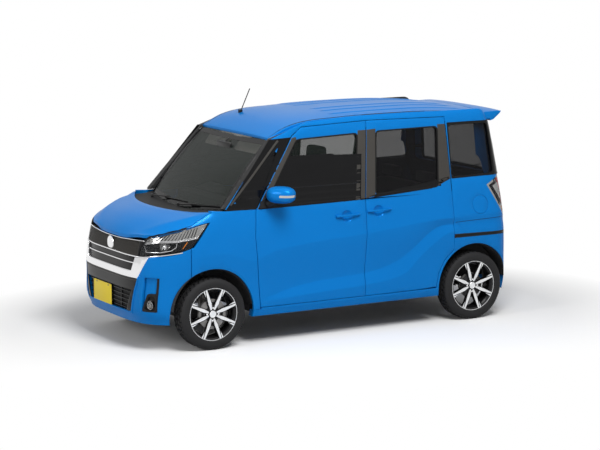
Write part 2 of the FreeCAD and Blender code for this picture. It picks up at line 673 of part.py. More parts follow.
front_inset = [("front_seam_low-door_edge", "door_foot+26"),
               ("front_seam_mid-door_edge", "crest_height+90"),
               ("front_seam_belt-door_edge", "belt_height-14"),
               ("mid_seam_belt+door_edge", "belt_height-14"),
               ("mid_seam_low+door_edge", "door_foot+26")]
rear_inset = [("mid_seam_low-door_edge", "door_foot+26"),
              ("mid_seam_belt-door_edge", "belt_height-14"), ("rear_seam+30", "belt_height-14"),
              ("rear_seam+30", ARCH_HEIGHT + 370), arch_point(REAR_AXLE, 40, 50),
              arch_point(REAR_AXLE, 20, 50), arch_point(REAR_AXLE, 8, 50)]
front_cup = handle_cup("FrontCup", value("front_cup_place"), value("front_cup_height"))
rear_cup = handle_cup("RearCup", value("rear_cup_place"), value("rear_cup_height"))
pair("front_door", door("FrontDoor", FRONT_DOOR, FRONT_WINDOW, front_inset, -330, 775, front_cup))
pair("sliding_door", door("SlidingDoor", REAR_DOOR, REAR_WINDOW, rear_inset, -1100, -225, rear_cup))


def pane(name, corners, x_low, x_high, size="window_round"):
    slab = side_slab(name + "Slab", x_low, x_high, 1060, 1660, 8, value("glass_thickness"))
    drawn = inner(corners, value("seat_gap"))
    return common(name, slab, side_prism(name + "Edge", drawn,
                                         around(drawn, value("seat_gap"), size)))


pair("front_glass", pane("FrontGlass", FRONT_WINDOW, -250, 690))
quarter_edge = inner(QUARTER_WINDOW, value("seat_gap"))
quarter_back = common("QuarterBack", tail_shell("QuarterShell", 1150, 1670, 8,
                                                value("glass_thickness")),
                      side_prism("QuarterBackEdge", quarter_edge,
                                 around(quarter_edge, value("seat_gap"))))
pair("side_glass", fuse("SideGlass", pane("RearGlass", REAR_WINDOW, -1010, -340),
                        fuse("QuarterPane",
                             pane("QuarterGlass", QUARTER_WINDOW, value("tail_start"), -1080),
                             quarter_back),
                        pane("LightGlass", QUARTER_LIGHT, 490, 960, "light_round")))

# Body side
wall = side_slab("SideWall", value("tail_start"), 1015, 226, 1748, 0, value("side_depth"))
wall_outline = side_prism("SideOutline", [
    ("tail_start-20", "sill_bottom"), (800, "sill_bottom"), (800, "belt_height-5"),
    (1012, "belt_height+4"), ("screen_head+4", "header_height+6"), (400, 1660), (240, 1710),
    (-342, "rail_height+8"), ("tail_start-20", "rail_height+8")])
tail_wall = common("TailWall", tail_shell("TailWallShell", 226, 1748, 0, value("side_depth")),
                   prism("TailWallOutline", "front", [
                       ("gate_half_low+panel_gap", 200), (REACH, 200), (REACH, 1760),
                       ("gate_half_top+panel_gap", 1760), ("gate_half_top+panel_gap", "gate_top"),
                       ("gate_half_low+panel_gap", "gate_waist")], -1760, "tail_start"))
fender_zone = side_prism("FenderZone", [("front_seam_low-8", "sill_line-11"),
                                        (830, "sill_line-11"), (830, "belt_height-5"),
                                        ("front_seam_low-8", "belt_height-5")])
roof_zone = common("RoofZone",
                   cover_slab("RoofZoneSlab", roof, -1720, 590, 600, 80,
                              value("roof_thickness+seat_gap")),
                   prism("RoofZonePlan", "plan", [(-1720, "0-roof_half-seat_gap"),
                                                  (590, "0-roof_half-seat_gap"),
                                                  (590, "roof_half+seat_gap"),
                                                  (-1720, "roof_half+seat_gap")], 1400, 2000))
bumper_zone = prism("RearBumperZone", "side",
                    [("rear_bumper_front", 100), ("rear_bumper_front", "rear_bumper_top"),
                     (-1800, "rear_bumper_top"), (-1800, 100)], 200, REACH)
tail_lamp_zone = side_prism("TailLampZone", TAIL_LAMP)
flap_hole = rod("FlapHole", "flap_radius+panel_gap/2", 300, ("flap_middle", 600, "flap_height"),
                Vector(0, 1, 0))
shell_side = cut("SideShell", fuse("SideWhole", common("SideCut", wall, wall_outline), tail_wall),
                 side_prism("DoorOpening", OPENING), screen_zone, fender_zone, roof_zone, bumper_zone,
                 tail_lamp_zone, rear_arch, front_arch, flap_hole,
                 side_prism("QuarterHole", QUARTER_WINDOW, around(QUARTER_WINDOW)),
                 side_prism("LightHole", QUARTER_LIGHT, around(QUARTER_LIGHT, 0, "light_round")))
floor_top = "floor_height+floor_thickness+seat_gap"
mid_pillar = common("MidPillar",
                    side_slab("MidPillarSlab", -400, -180, 236, 1725,
                              value("skin_depth+seat_gap"), value("door_depth-skin_depth")),
                    side_prism("MidPillarOutline",
                               [("mid_seam_low-door_edge+panel_gap", floor_top),
                                ("mid_seam_low+door_edge-panel_gap", floor_top),
                                ("mid_seam_belt+door_edge-panel_gap", "belt_height"),
                                ("mid_seam_head+door_edge-14", "rail_height-32"),
                                ("mid_seam_head-door_edge+14", "rail_height-32"),
                                ("mid_seam_belt-door_edge+panel_gap", "belt_height")]))
flap_cup = common("FlapCup", side_slab("FlapCupSlab", -1450, -1270, 840, 1075, 14.3, 8),
                  rod("FlapCupDisc", "flap_radius+panel_gap", 300,
                      ("flap_middle", 600, "flap_height"), Vector(0, 1, 0)))
node("body_side_left", fuse("BodySideLeft", shell_side, mid_pillar, flap_cup))
plain_side = cut("PlainSide", fuse("PlainWhole", common("PlainCut", wall, wall_outline), tail_wall),
                 *shell_side.Tool.Shapes[:-3], *shell_side.Tool.Shapes[-2:])
node("body_side_right", mirrored("BodySideRight", fuse("BodySidePlain", plain_side, mid_pillar)))
flap = common("Flap", side_slab("FlapSlab", -1440, -1280, 850, 1065, 0, 14),
              rod("FlapDisc", "flap_radius", 300, ("flap_middle", 600, "flap_height"),
                  Vector(0, 1, 0)))
node("fuel_flap", flap)

# Hood
hood_half_points = []
for x in (1160, 1200, 1300, 1400, 1500, 1560, 1604):
    hood_half_points.append((x, side(x, curve(x, HOOD_EDGE)) - 3))
hood_nose = [(nose(848) - 25 * (y / 400) ** 2 * 1.4 - 6, y) for y in (400, 250, 120, 0)]
hood_corner = side(value("hood_rear"), value("hood_edge_rear")) - 3
rear_line = [(hood_rear_edge(y), y) for y in (0, 110, 220, 330, 430, 520, 600)]
left_edge = rear_line + [(value("hood_rear"), hood_corner)] + hood_half_points + hood_nose
right_edge = [(x, -y) for x, y in reversed(left_edge[1:-1])]
hood_slab = cover_slab("HoodSlab", hood, 1120, 1670, 720, 0, value("hood_thickness"), (25, 20))
hood_plan = left_edge + right_edge
hood_zone = common("HoodZone", cover_slab("HoodZoneSlab", hood, 1110, 1690, 740, 60,
                                          value("hood_thickness+panel_gap"), (25, 20)),
                   prism("HoodZonePlan", "plan", inner(hood_plan, -GAP), 700, 1300))
strap = box("HoodStrap", ("strap_rear", "strap_inner", "strap_foot"),
            ("strap_front", "apron_inner-seat_gap", "strap_top"))
node("hood", fuse("Hood", common("HoodSkin", hood_slab,
                                 prism("HoodPlan", "plan", hood_plan, 700, 1300)),
                  strap, mirrored("HoodStrapTwin", strap)))

# Fenders
fender_slab = side_slab("FenderSlab", 700, 1345, 270, 1090, 0, 24)
pair("front_fender", cut("Fender", common("FenderCut", fender_slab,
                                          side_prism("FenderOutline", FENDER)),
                         front_arch, hood_zone))

# Front bumper, grille and lamps
fascia = nose_shell("Fascia", 216, 836, 0, value("fascia_thickness"))
bumper_box = prism("BumperOutline", "side", [
    ("bumper_seam+panel_gap/2", 150), ("bumper_seam+panel_gap/2", "lamp_low_height-12"),
    ("lamp_mid", "lamp_mid_height-5"), ("overall_length/2+40", "lamp_front_height-19"),
    (1800, "lamp_front_height-19"), (1800, 150)], "0-half_width-40", "half_width+40")
brow_box = prism("BrowOutline", "front", [
    ("grille_half_top", "grille_top"), ("grille_half_top", 700), ("0-grille_half_top", 700),
    ("0-grille_half_top", "grille_top")], 1400, 1800)
grille_hole = prism("GrilleHole", "front", [
    ("grille_half_top", "grille_top+30"), ("grille_half_mid", "grille_mid"),
    ("grille_half_foot", "grille_foot"), ("0-grille_half_foot", "grille_foot"),
    ("0-grille_half_mid", "grille_mid"), ("0-grille_half_top", "grille_top+30")], 1300, 1800)
intake_hole = prism("IntakeHole", "front", [
    ("intake_half_top", "intake_top"), ("0-intake_half_top", "intake_top"),
    ("0-intake_half_foot", "intake_foot"), ("intake_half_foot", "intake_foot")], 1300, 1800)
fog_corners = [("fog_half_low-90", "fog_top"), ("fog_half_high", "fog_top"),
               ("fog_half_high-10", "fog_foot"), ("fog_half_low-60", "fog_foot")]
fog_left = prism("FogHole", "front", fog_corners, 1300, 1800)
front_arches = rod("FrontArches", "arch_radius", 1600, (FRONT_AXLE, -800, ARCH_HEIGHT),
                   Vector(0, 1, 0))
node("front_bumper", cut("FrontBumper", common("FasciaCut", fascia, bumper_box), grille_hole,
                         intake_hole, fog_left, mirrored("FogHoleTwin", fog_left), front_arches))
grille_back = common("GrilleBack", nose_shell("GrilleShell", 540, 860, 22, 10),
                     prism("GrilleEdge", "front", [
                         ("grille_half_top-seat_gap", "grille_top"),
                         ("grille_half_mid-seat_gap", "grille_mid"),
                         ("grille_half_foot-seat_gap", "grille_foot+seat_gap"),
                         ("seat_gap-grille_half_foot", "grille_foot+seat_gap"),
                         ("seat_gap-grille_half_mid", "grille_mid"),
                         ("seat_gap-grille_half_top", "grille_top")], 1300, 1800))
bars = []
bar_shell = nose_shell("BarShell", 540, 860, 1, 22)
for number, height in enumerate(("grille_foot", 664, 730)):
    wide = prism("BarOutline%d" % number, "front", [
        ("grille_inner_half+60", value(height)), ("0-grille_inner_half-60", value(height)),
        ("0-grille_inner_half-60", value(height) + 18), ("grille_inner_half+60", value(height) + 18)],
        1300, 1800)
    bars.append(common("Bar%d" % number, bar_shell, wide))
node("grille", cut("Grille", fuse("GrilleWhole", grille_back, *bars), hood_zone))
intake_shell = nose_shell("IntakeShell", 290, 490, value("fascia_thickness+seat_gap"), 8)
intake_sheet = common("IntakeSheet", intake_shell, prism("IntakeEdge", "front", [
    ("intake_half_top+4", "intake_top+4"), ("0-intake_half_top-4", "intake_top+4"),
    ("0-intake_half_foot-4", "intake_foot-4"), ("intake_half_foot+4", "intake_foot-4")],
    1300, 1800))
plate_bracket = box("PlateBracket", (1664, "plate_shift-130", "plate_middle-plate_height/2+12"),
                    ("overall_length/2-10", "plate_shift+130", "plate_middle+plate_height/2-2"))
plate_holes = [rod("PlateHole%d" % side_sign, "plate_hole", 40,
                   (1655, value("plate_shift") + side_sign * value("plate_pitch/2"),
                    value("plate_middle+plate_height/2-14")), Vector(1, 0, 0))
               for side_sign in (-1, 1)]
node("intake_grille", cut("IntakeGrille", fuse("IntakeWhole", intake_sheet, plate_bracket),
                          *plate_holes))
lamp_shell = nose_shell("LampShell", 730, 1010, 1, 90)
lamp_foot_shell = nose_shell("LampFootShell", 710, 900, value("fascia_thickness+seat_gap"), 50)
LAMP_FOOT = [(1340, 790), (1340, 820), ("overall_length/2+40", 800), ("overall_length/2+40", 722),
             ("lamp_mid", "lamp_mid_height-18")]
lamp_main = common("LampMain", lamp_shell, prism("LampOutline", "side", LAMP, 300, REACH))
lamp_foot = common("LampFoot", lamp_foot_shell, prism("LampFootOutline", "side", LAMP_FOOT,
                                                      300, REACH))
pair("headlamp", cut("Headlamp", fuse("LampWhole", lamp_main, lamp_foot), grille_hole, hood_zone))

# Rear bumper, tailgate and lamps
rear_fascia = tail_shell("RearFascia", 216, 834, 0, value("fascia_thickness"))
rear_arches = rod("RearArches", "arch_radius", 1600, (REAR_AXLE, -800, ARCH_HEIGHT),
                  Vector(0, 1, 0))
gate_notch = prism("GateNotch", "front", [
    ("gate_half_low+panel_gap", "gate_foot-panel_gap"),
    ("gate_half_low+panel_gap", "gate_notch_top"), ("0-gate_half_low-panel_gap", "gate_notch_top"),
    ("0-gate_half_low-panel_gap", "gate_foot-panel_gap")], -1800, -1300)
rear_box = box("RearBumperBox", (-1800, -800, 100), ("rear_bumper_front-panel_gap", 800, 836))
node("rear_bumper", cut("RearBumper", common("RearFasciaCut", rear_fascia, rear_box), gate_notch,
                        rear_arches))
tail_lamp_shell = tail_shell("TailLampShell", 848, 1200, 1, 60)
pair("tail_lamp", common("TailLamp", tail_lamp_shell, tail_lamp_zone,
                         prism("TailLampEdge", "front", [
                             ("gate_half_low+panel_gap", 800), (REACH, 800), (REACH, 1300),
                             ("gate_half_low+panel_gap", 1300)], -1800, -1300)))
gate_shell = tail_shell("GateShell", 500, value("gate_top"), 2, value("gate_thickness"))
GATE_WINDOW = [("gate_glass_half", "gate_glass_foot"), ("gate_glass_half-65", "gate_glass_head"),
               ("65-gate_glass_half", "gate_glass_head"), ("0-gate_glass_half", "gate_glass_foot")]
gate_hole = prism("GateHole", "front", GATE_WINDOW, -1800, -1350, around(GATE_WINDOW))
node("tailgate", cut("Tailgate", common("GateCut", gate_shell,
                                        prism("GateOutline", "front", GATE, -1800, -1400)),
                     gate_hole, rod("GateClear", "arch_radius+panel_gap*2", 1600,
                                    (REAR_AXLE, -800, ARCH_HEIGHT), Vector(0, 1, 0))))
gate_glass_shell = tail_shell("GateGlassShell", 1150, 1640, 8, value("glass_thickness"))
gate_glass_edge = inner(GATE_WINDOW, value("seat_gap"))
node("tailgate_glass", common("GateGlass", gate_glass_shell,
                              prism("GateGlassEdge", "front", gate_glass_edge, -1800, -1400,
                                    around(gate_glass_edge, value("seat_gap")))))


def spoiler_top(x, y):
    """Height of the spoiler, which leaves the roof's line and loses its crown"""
    start = value("roof_rear-13")
    if x > start:
        return roof(x, y)
    part = (start - x) / (start - value("spoiler_reach"))
    crown = value("roof_crown") * (1 - 0.6 * part)
    return roof(start, 0) - 12 * part ** 2 - crown * (abs(y) / value("roof_half")) ** 3


spoiler_side = prism("SpoilerSide", "side", [
    ("roof_rear-panel_gap", 1790), ("spoiler_reach-4", 1790), ("spoiler_reach-4", "spoiler_height"),
    ("spoiler_reach+8", "spoiler_height-16"), (-1600, 1634), (-1568, 1626), (-1564, "gate_top+seat_gap"),
    ("roof_rear-panel_gap", "gate_top+seat_gap")], "0-gate_half_top", "gate_half_top",
    {2: 6, 3: 14, 4: 16})
node("spoiler", common("Spoiler", cover_slab("SpoilerSlab", spoiler_top, -1690, -1480, 560, 0, 112,
                                             (25, 40)), spoiler_side))

# Roof and screens
roof_plan = prism("RoofPlan", "plan", [("roof_rear", "0-roof_half"), ("roof_front", "0-roof_half"),
                                       ("roof_front", "roof_half"), ("roof_rear", "roof_half")],
                  1300, 1900)
node("roof_panel", common("Roof", cover_slab("RoofSlab", roof, -1490, 560, 570, 0,
                                             value("roof_thickness")), roof_plan))


# Cowl
def cowl_height(x, y):
    """Height of the panel between the windscreen's foot and the hood"""
    share = min(abs(y) / value("screen_foot_half"), 1)
    foot = value("screen_foot") - value("screen_foot_bow") * share ** 2
    low = value("screen_foot_height") + value("screen_foot_rise") * share ** 2 - value("seat_gap")
    edge = hood_rear_edge(y)
    high = hood(edge, y) - value("cowl_drop")
    part = min(max((x - foot) / (edge - foot), -0.4), 1.1)
    dip = value("cowl_drop") * 4 * part * (1 - part) if 0 < part < 1 else 0
    return low + (high - low) * part - dip * 0.5


cowl_front = [(hood_rear_edge(y) - GAP, y) for y in (0, 110, 220, 330, 430, 520, 600, 618)]
cowl_left = cowl_front + [(940, 618)]
cowl_plan = cowl_left + [(x, -y) for x, y in reversed(cowl_left[1:])]
node("cowl", cut("Cowl", common("CowlPanel", cover_slab("CowlSlab", cowl_height, 920, 1340, 640, 0,
                                                        value("cowl_thickness"), (30, 30)),
                                prism("CowlPlan", "plan", cowl_plan, 900, 1300)), screen_zone))

# Kingpins
KINGPIN_FOOT = Vector(FRONT_AXLE, value("kingpin_low"), value("kingpin_low_height"))
KINGPIN_HEAD = Vector(FRONT_AXLE, value("kingpin_high"), value("kingpin_high_height"))
KINGPIN = (KINGPIN_HEAD - KINGPIN_FOOT).normalize()
WHEEL_HEIGHT = value("tyre_radius")


def along_kingpin(distance):
    return KINGPIN_FOOT + KINGPIN * distance


def kingpin_rod(name, radius, start, length):
    return rod(name, radius, length, tuple(along_kingpin(start)), KINGPIN)


# Floor and structure
floor = box("Floor", ("kick_place", "0-floor_half", "floor_height"),
            ("bulkhead", "floor_half", "floor_height+floor_thickness"))
kick = box("Kick", ("kick_place-floor_thickness", "0-inner_arch_rear+8", "floor_height"),
           ("kick_place", "inner_arch_rear-8", "kick_height+floor_thickness"))
load_floor = box("LoadFloor", (-1600, "0-inner_arch_rear+8", "kick_height"),
                 ("kick_place", "inner_arch_rear-8", "kick_height+floor_thickness"))
load_board = box("LoadBoard", (-1560, "0-load_board_half", "kick_height+floor_thickness-1"),
                 (-1190, "load_board_half", "kick_height+floor_thickness+8"))
bulkhead = box("Bulkhead", ("bulkhead", -640, "floor_height"), ("bulkhead+30", 640, "bulkhead_top"))
members = [box("Member%s" % hand, ("member_rear", low, "member_foot"),
               ("member_front", high, "member_top")) for hand, low, high in
           (("Left", "member_inner", "member_outer"), ("Right", "0-member_outer", "0-member_inner"))]
radiator_frame = box("CrossMember", ("member_front-40", "0-member_outer", "member_top"),
                     ("member_front", "member_outer", "frame_top"))
bumper_beam = box("BumperBeam", ("member_front", "0-beam_half", "beam_foot"),
                  ("overall_length/2-fascia_thickness-seat_gap-6", "beam_half", "frame_top"))
rear_beam = box("RearBeam", ("0-overall_length/2+fascia_thickness+seat_gap+0.15", -200, 370),
                (-1590, 200, "kick_height+floor_thickness"))
cowl_shelf = box("CowlShelf", (770, -600, 984), (1060, 600, 996))
arm_bracket = box("ArmBracket", (REAR_AXLE + 380, 476, "trail_top+seat_gap"),
                  (REAR_AXLE + 415, 509, "kick_height+1"))
cowl_rib = box("CowlRib", (1040, -40, 990),
               (1052, 40, cowl_height(1046, 0) - value("cowl_thickness+seat_gap")))
apron = box("Apron", ("apron_rear", "apron_inner", "apron_foot"),
            ("apron_front", "apron_outer", "apron_top"))
hinge_post = box("HoodHingePost", ("strap_rear-6", "apron_inner", "apron_top-5"),
                 ("strap_front+4", "apron_inner+15", "post_top"))


def liner(name, axle, inner_wall, outer_wall):
    """Half round wheelhouse with its inner wall"""
    outside = rod(name + "Out", "arch_radius-seat_gap", outer_wall - inner_wall,
                  (axle, inner_wall, ARCH_HEIGHT), Vector(0, 1, 0))
    hollow = rod(name + "In", "arch_radius-seat_gap-liner_thickness", outer_wall - inner_wall,
                 (axle, inner_wall + 8, ARCH_HEIGHT), Vector(0, 1, 0))
    under = box(name + "Under", (axle - 400, inner_wall - 10, -200),
                (axle + 400, outer_wall + 10, ARCH_HEIGHT + 40))
    return cut(name, outside, hollow, under)


rear_liner = liner("RearLiner", REAR_AXLE, value("inner_arch_rear") - 8, 706)
front_liner = liner("FrontLiner", FRONT_AXLE, value("inner_arch_front") - 8, 706)
tower_hole = kingpin_rod("TowerHole", "spring_radius+seat_gap", 380, 300)
near_side = fuse("NearSideParts", cut("FrontLinerCut", front_liner, tower_hole), rear_liner, apron,
                 hinge_post, arm_bracket)
node("floor_pan", fuse("FloorPan", floor, kick, load_floor, load_board, bulkhead, radiator_frame, *members,
                       bumper_beam, rear_beam, cowl_shelf, cowl_rib, near_side,
                       mirrored("FarSideParts", near_side)))
node("engine", box("Engine", ("engine_rear", "seat_gap-member_inner", "engine_foot"),
                   ("engine_front", "member_inner-seat_gap", "engine_top")))
node("fuel_tank", box("FuelTank", ("0-tank_half_length", "0-tank_half", "tank_foot"),
                      ("tank_half_length", "tank_half", "floor_height-seat_gap")))

# Steering and suspension
hub_place = value("track_front/2+wheel_offset-seat_gap")
knuckle = fuse("Knuckle", kingpin_rod("KnuckleFoot", 22, 4, 40),
               kingpin_rod("KnuckleHead", 24, 190, 46),
               box("KnucklePost", (FRONT_AXLE - 30, 512, 205), (FRONT_AXLE + 30, 552, 400)),
               rod("HubCarrier", 42, hub_place - 12 - 535, (FRONT_AXLE, 535, WHEEL_HEIGHT),
                   Vector(0, 1, 0)),
               rod("BrakeDisc", "disc_radius", "disc_thickness",
                   (FRONT_AXLE, hub_place - 12, WHEEL_HEIGHT), Vector(0, 1, 0)),
               rod("Stub", "axle_stub", 20, (FRONT_AXLE, hub_place - 10, WHEEL_HEIGHT),
                   Vector(0, 1, 0)))
pair("knuckle", knuckle)
strut = fuse("Strut", kingpin_rod("StrutTube", 24, 236.3, 200), kingpin_rod("StrutRod", 10, 400, 215),
             kingpin_rod("Spring", "spring_radius", 400, 180))
arm = fuse("Arm", kingpin_rod("BallJoint", 20, -22, 25.7),
           box("ArmBar", (FRONT_AXLE - 25, 320, 168), (FRONT_AXLE + 25, 570, 186)))
crossbeam = box("SubframeBeam", (FRONT_AXLE - 70, -330, 180), (FRONT_AXLE + 70, 330, 250))
node("front_subframe", fuse("Subframe", crossbeam, strut, mirrored("StrutTwin", strut), arm,
                            mirrored("ArmTwin", arm)))
rear_hub = value("track_rear/2+wheel_offset-seat_gap")
beam = rod("BeamTube", 34, 1000, (REAR_AXLE + 110, -500, 290),
           Vector(0, 1, 0))
trail = box("TrailArm", (REAR_AXLE - 20, 470, 262), (REAR_AXLE + 420, 515, "trail_top"))
drum = fuse("Drum", rod("DrumBody", 100, 50, (REAR_AXLE, rear_hub - 50, WHEEL_HEIGHT),
                        Vector(0, 1, 0)),
            rod("DrumStub", 30, rear_hub - 540, (REAR_AXLE, 500, WHEEL_HEIGHT), Vector(0, 1, 0)),
            rod("DrumPin", "axle_stub", 14, (REAR_AXLE, rear_hub - 4, WHEEL_HEIGHT),
                Vector(0, 1, 0)))
node("rear_axle", fuse("RearAxle", beam, trail, mirrored("TrailTwin", trail), drum,
                       mirrored("DrumTwin", drum)))


# Wheels
def revolved(name, outline, middle, turned):
    """Round piece about a level axle from pairs of distance along it and radius"""
    item = doc.addObject("PartDesign::Body", name)
    plane = [f for f in item.Origin.OriginFeatures if f.Role == "XY_Plane"][0]
    sketch = item.newObject("Sketcher::SketchObject", name + "Section")
    sketch.AttachmentSupport = (plane, [""])
    sketch.MapMode = "FlatFace"
    points = [Vector(value(b), value(a), 0) for a, b in outline]
    count = len(points)
    sketch.addGeometry([Part.LineSegment(points[i], points[(i + 1) % count])
                        for i in range(count)], False)
    sketch.addConstraint([Sketcher.Constraint("Coincident", i, 2, (i + 1) % count, 1)
                          for i in range(count)])
    for i, (a, b) in enumerate(outline):
        for kind, formula, number in (("DistanceX", b, points[i].x), ("DistanceY", a, points[i].y)):
            index = sketch.addConstraint(Sketcher.Constraint(kind, i, 1, number))
            bind(sketch, "Constraints[%d]" % index, formula)
    turn = item.newObject("PartDesign::Revolution", name + "Turn")
    turn.Profile = sketch
    turn.ReferenceAxis = (sketch, ["V_Axis"])
    turn.Angle = 360
    item.Placement = Placement(Vector(*middle), Rotation(Vector(0, 0, 1), turned))
    return item


TYRE = [("0-tyre_width/2+8", "rim_radius-2"), ("0-tyre_width/2", "rim_radius+18"),
        ("0-tyre_width/2", "tyre_radius-24"), ("0-tyre_width/2+16", "tyre_radius-5"),
        ("0-tyre_width/4", "tyre_radius"), ("tyre_width/4", "tyre_radius"),
        ("tyre_width/2-16", "tyre_radius-5"), ("tyre_width/2", "tyre_radius-24"),
        ("tyre_width/2", "rim_radius+18"), ("tyre_width/2-10", "rim_radius-2"),
        ("tyre_width/2-14", "rim_barrel+2"), ("14-tyre_width/2", "rim_barrel+2")]
RIM = [("0-rim_width/2", "rim_barrel-10"), ("0-rim_width/2", "rim_barrel+1"),
       ("rim_width/2-2", "rim_barrel+1"), ("rim_width/2-2", "rim_radius-4"),
       ("rim_width/2+2", "rim_radius-4"), ("rim_width/2+2", "rim_barrel-10")]


def wheel(label, axle, y, turned):
    """Tyre and rim of one corner, turned so that the face points outwards"""
    middle = (axle, y, WHEEL_HEIGHT)
    tyre = revolved(label + "Tyre", TYRE, middle, turned)
    barrel = revolved(label + "Barrel", RIM, middle, turned)
    out = Vector(0, 1 if turned == 0 else -1, 0)
    face = Vector(*middle) + out * value("wheel_offset")
    hub = rod(label + "Hub", "hub_radius", 22, tuple(face - out * 0), out)
    spokes = []
    for number in range(int(value("spoke_count"))):
        spoke = doc.addObject("Part::Box", "%sSpoke%d" % (label, number))
        spoke.Length, spoke.Width, spoke.Height = value("rim_barrel-50"), 20, 24
        angle = 360.0 / value("spoke_count") * number + 20
        lean = Rotation(Vector(0, 1, 0), angle)
        corner = lean.multVec(Vector(48, 0, -12))
        place = face + Vector(corner.x, 0, corner.z) + (out * 4 if turned == 0 else out * 24)
        spoke.Placement = Placement(place, lean)
        spokes.append(spoke)
    rim = fuse(label + "Rim", barrel, hub, *spokes)
    bore = rod(label + "Bore", "hub_bore/2", 16, tuple(face - out * 0), out)
    rim = cut(label + "RimCut", rim, bore)
    return tyre, rim


for end, axle, half in (("front", FRONT_AXLE, value("track_front/2")),
                        ("rear", REAR_AXLE, value("track_rear/2"))):
    for hand, sign, turned in (("left", 1, 0), ("right", -1, 180)):
        tyre, rim = wheel("%s%s" % (end.title(), hand.title()), axle, sign * half, turned)
        node("tyre_%s_%s" % (end, hand), tyre)
        node("rim_%s_%s" % (end, hand), rim)


# Cabin
def seat(name, front, back, half, side_place, low):
    """Cushion and back of a seat"""
    top = low + value("cushion_thickness")
    cushion = prism(name + "Cushion", "side", [
        (front, low + 20), (front + 10, top - 30), (front - 40, top), (back + 30, top - 40),
        (back - 40, low)], side_place - half, side_place + half)
    rest = prism(name + "Rest", "side", [
        (back - 10, low + 40), (back + 60, top - 20), (back - 90, value("back_height")),
        (back - 90 - value("back_thickness") * 0.6, value("back_height")),
        (back - value("back_thickness"), low + 60)], side_place - half, side_place + half)
    return [cushion, rest]


def front_seat(name, slide, side_place):
    """Front seat with its head rest and runner"""
    front, back = value("seat_front") + slide, value("seat_back") + slide
    head = prism(name + "HeadRest", "side", [(back - 45, 1300), (back - 40, 1450),
                                             (back - 85, 1500), (back - 135, 1450),
                                             (back - 130, 1300)],
                 side_place - 115, side_place + 115)
    post = rod(name + "HeadPost", 8, 140, (back - 95, side_place, 1180))
    base = box(name + "Base", (back + 20, side_place - 190, 288),
               (front - 60, side_place + 190, 432))
    return fuse(name, *seat(name, front, back, value("seat_width/2"), side_place,
                            value("seat_height-cushion_thickness")), head, post, base)


node("front_seats", fuse("FrontSeats", front_seat("PassengerSeat", 0, value("seat_half_spacing")),
                         front_seat("DriverSeat", -value("driver_slide"),
                                    -value("seat_half_spacing"))))
rear_parts = seat("RearSeat", value("rear_seat_front"), value("rear_seat_back"),
                  value("rear_seat_width/2"), 0,
                  value("kick_height+floor_thickness+seat_gap"))
rear_base = box("RearSeatBase", ("kick_place+1", -480, floor_top),
                (-600, 480, 446))
node("rear_seat", fuse("RearSeat", *rear_parts, rear_base))
HELM_MIDDLE = Vector(value("helm_place"), value("helm_side"), value("helm_height"))
ring = doc.addObject("Part::Torus", "HelmRing")
ring.Radius1, ring.Radius2 = value("helm_radius"), value("helm_tube")
ring.Placement = Placement(HELM_MIDDLE,
                           Rotation(Vector(0, 1, 0), value("helm_tilt_degrees") - 90))
HELM_AXIS = ring.Placement.Rotation.multVec(Vector(0, 0, 1))
helm_boss = rod("HelmBoss", 60, 40, tuple(HELM_MIDDLE + HELM_AXIS * -20), HELM_AXIS)
helm_spokes = []
for number, angle in enumerate((0, 90, 180)):
    bar = doc.addObject("Part::Box", "HelmSpoke%d" % number)
    bar.Length, bar.Width, bar.Height = value("helm_radius"), 30, 12
    turn = ring.Placement.Rotation.multiply(Rotation(Vector(0, 0, 1), angle + 90))
    bar.Placement = Placement(HELM_MIDDLE + turn.multVec(Vector(0, -15, -6)), turn)
    helm_spokes.append(bar)
node("steering_wheel", fuse("Helm", ring, helm_boss, *helm_spokes))
column = rod("Column", 26, 320, tuple(HELM_MIDDLE - HELM_AXIS * 20.3), HELM_AXIS * -1)
node("steering_column", column)
node("dashboard", cut("Dashboard", prism("DashWhole", "side", [
    ("bulkhead-seat_gap", "dash_foot"), ("bulkhead-seat_gap", "dash_top-20"),
    ("dash_rear+140", "dash_top"), ("dash_rear+60", "dash_brow"), ("dash_rear", 1000),
    ("dash_rear+30", "dash_knee"), ("dash_rear+90", "dash_foot")], "0-dash_half", "dash_half"),
                      rod("ColumnBore", 26.3, 330, tuple(HELM_MIDDLE - HELM_AXIS * 15),
                          HELM_AXIS * -1)))

# Mirrors and antenna
mirror_shell = doc.addObject("Part::Fillet", "MirrorShell")
mirror_block = box("MirrorBlock", ("mirror_rear", "mirror_inner", "mirror_foot"),
                   ("mirror_front", "mirror_outer", "mirror_top"))
mirror_block.recompute()
mirror_shell.Base = mirror_block
mirror_shell.Edges = [(k, 30, 30) for k in range(1, 13)]
mirror_arm = box("MirrorArm", (610, 668, 1056), (690, 772, 1142))
mirror_seat = side_slab("MirrorSeat", 580, 720, 1020, 1180, -value("seat_gap"), 160)
pair("mirror", fuse("Mirror", mirror_shell, cut("MirrorFoot", mirror_arm, mirror_seat)))
antenna_seat = cover_slab("AntennaSeat", roof, 260, 400, 420, value("seat_gap"), 60)
node("antenna", cut("Antenna", fuse("AntennaWhole",
                                    rod("AntennaBase", 18, 34, (325, -330, roof(325, -330) - 12)),
                                    rod("AntennaMast", 4, 210, (325, -330, roof(325, -330)),
                                        Vector(-0.42, 0, 0.9).normalize())), antenna_seat))

doc.recompute()
faults = ["%s is %s" % (item.Name, item.State) for item in doc.Objects
          if "Invalid" in item.State or "Error" in item.State]
faults += ["%s has no valid shape" % label for label, item in NODES.items()
           if item.Shape.isNull() or not item.Shape.isValid()]
if faults:
    raise RuntimeError("\n".join(faults))
os.makedirs("parts", exist_ok=True)
for label, item in NODES.items():
    item.Shape.exportStep("parts/%s.step" % label)
    print(label, len(item.Shape.Solids), round(item.Shape.Volume / 1e6, 2))
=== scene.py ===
import json
import math

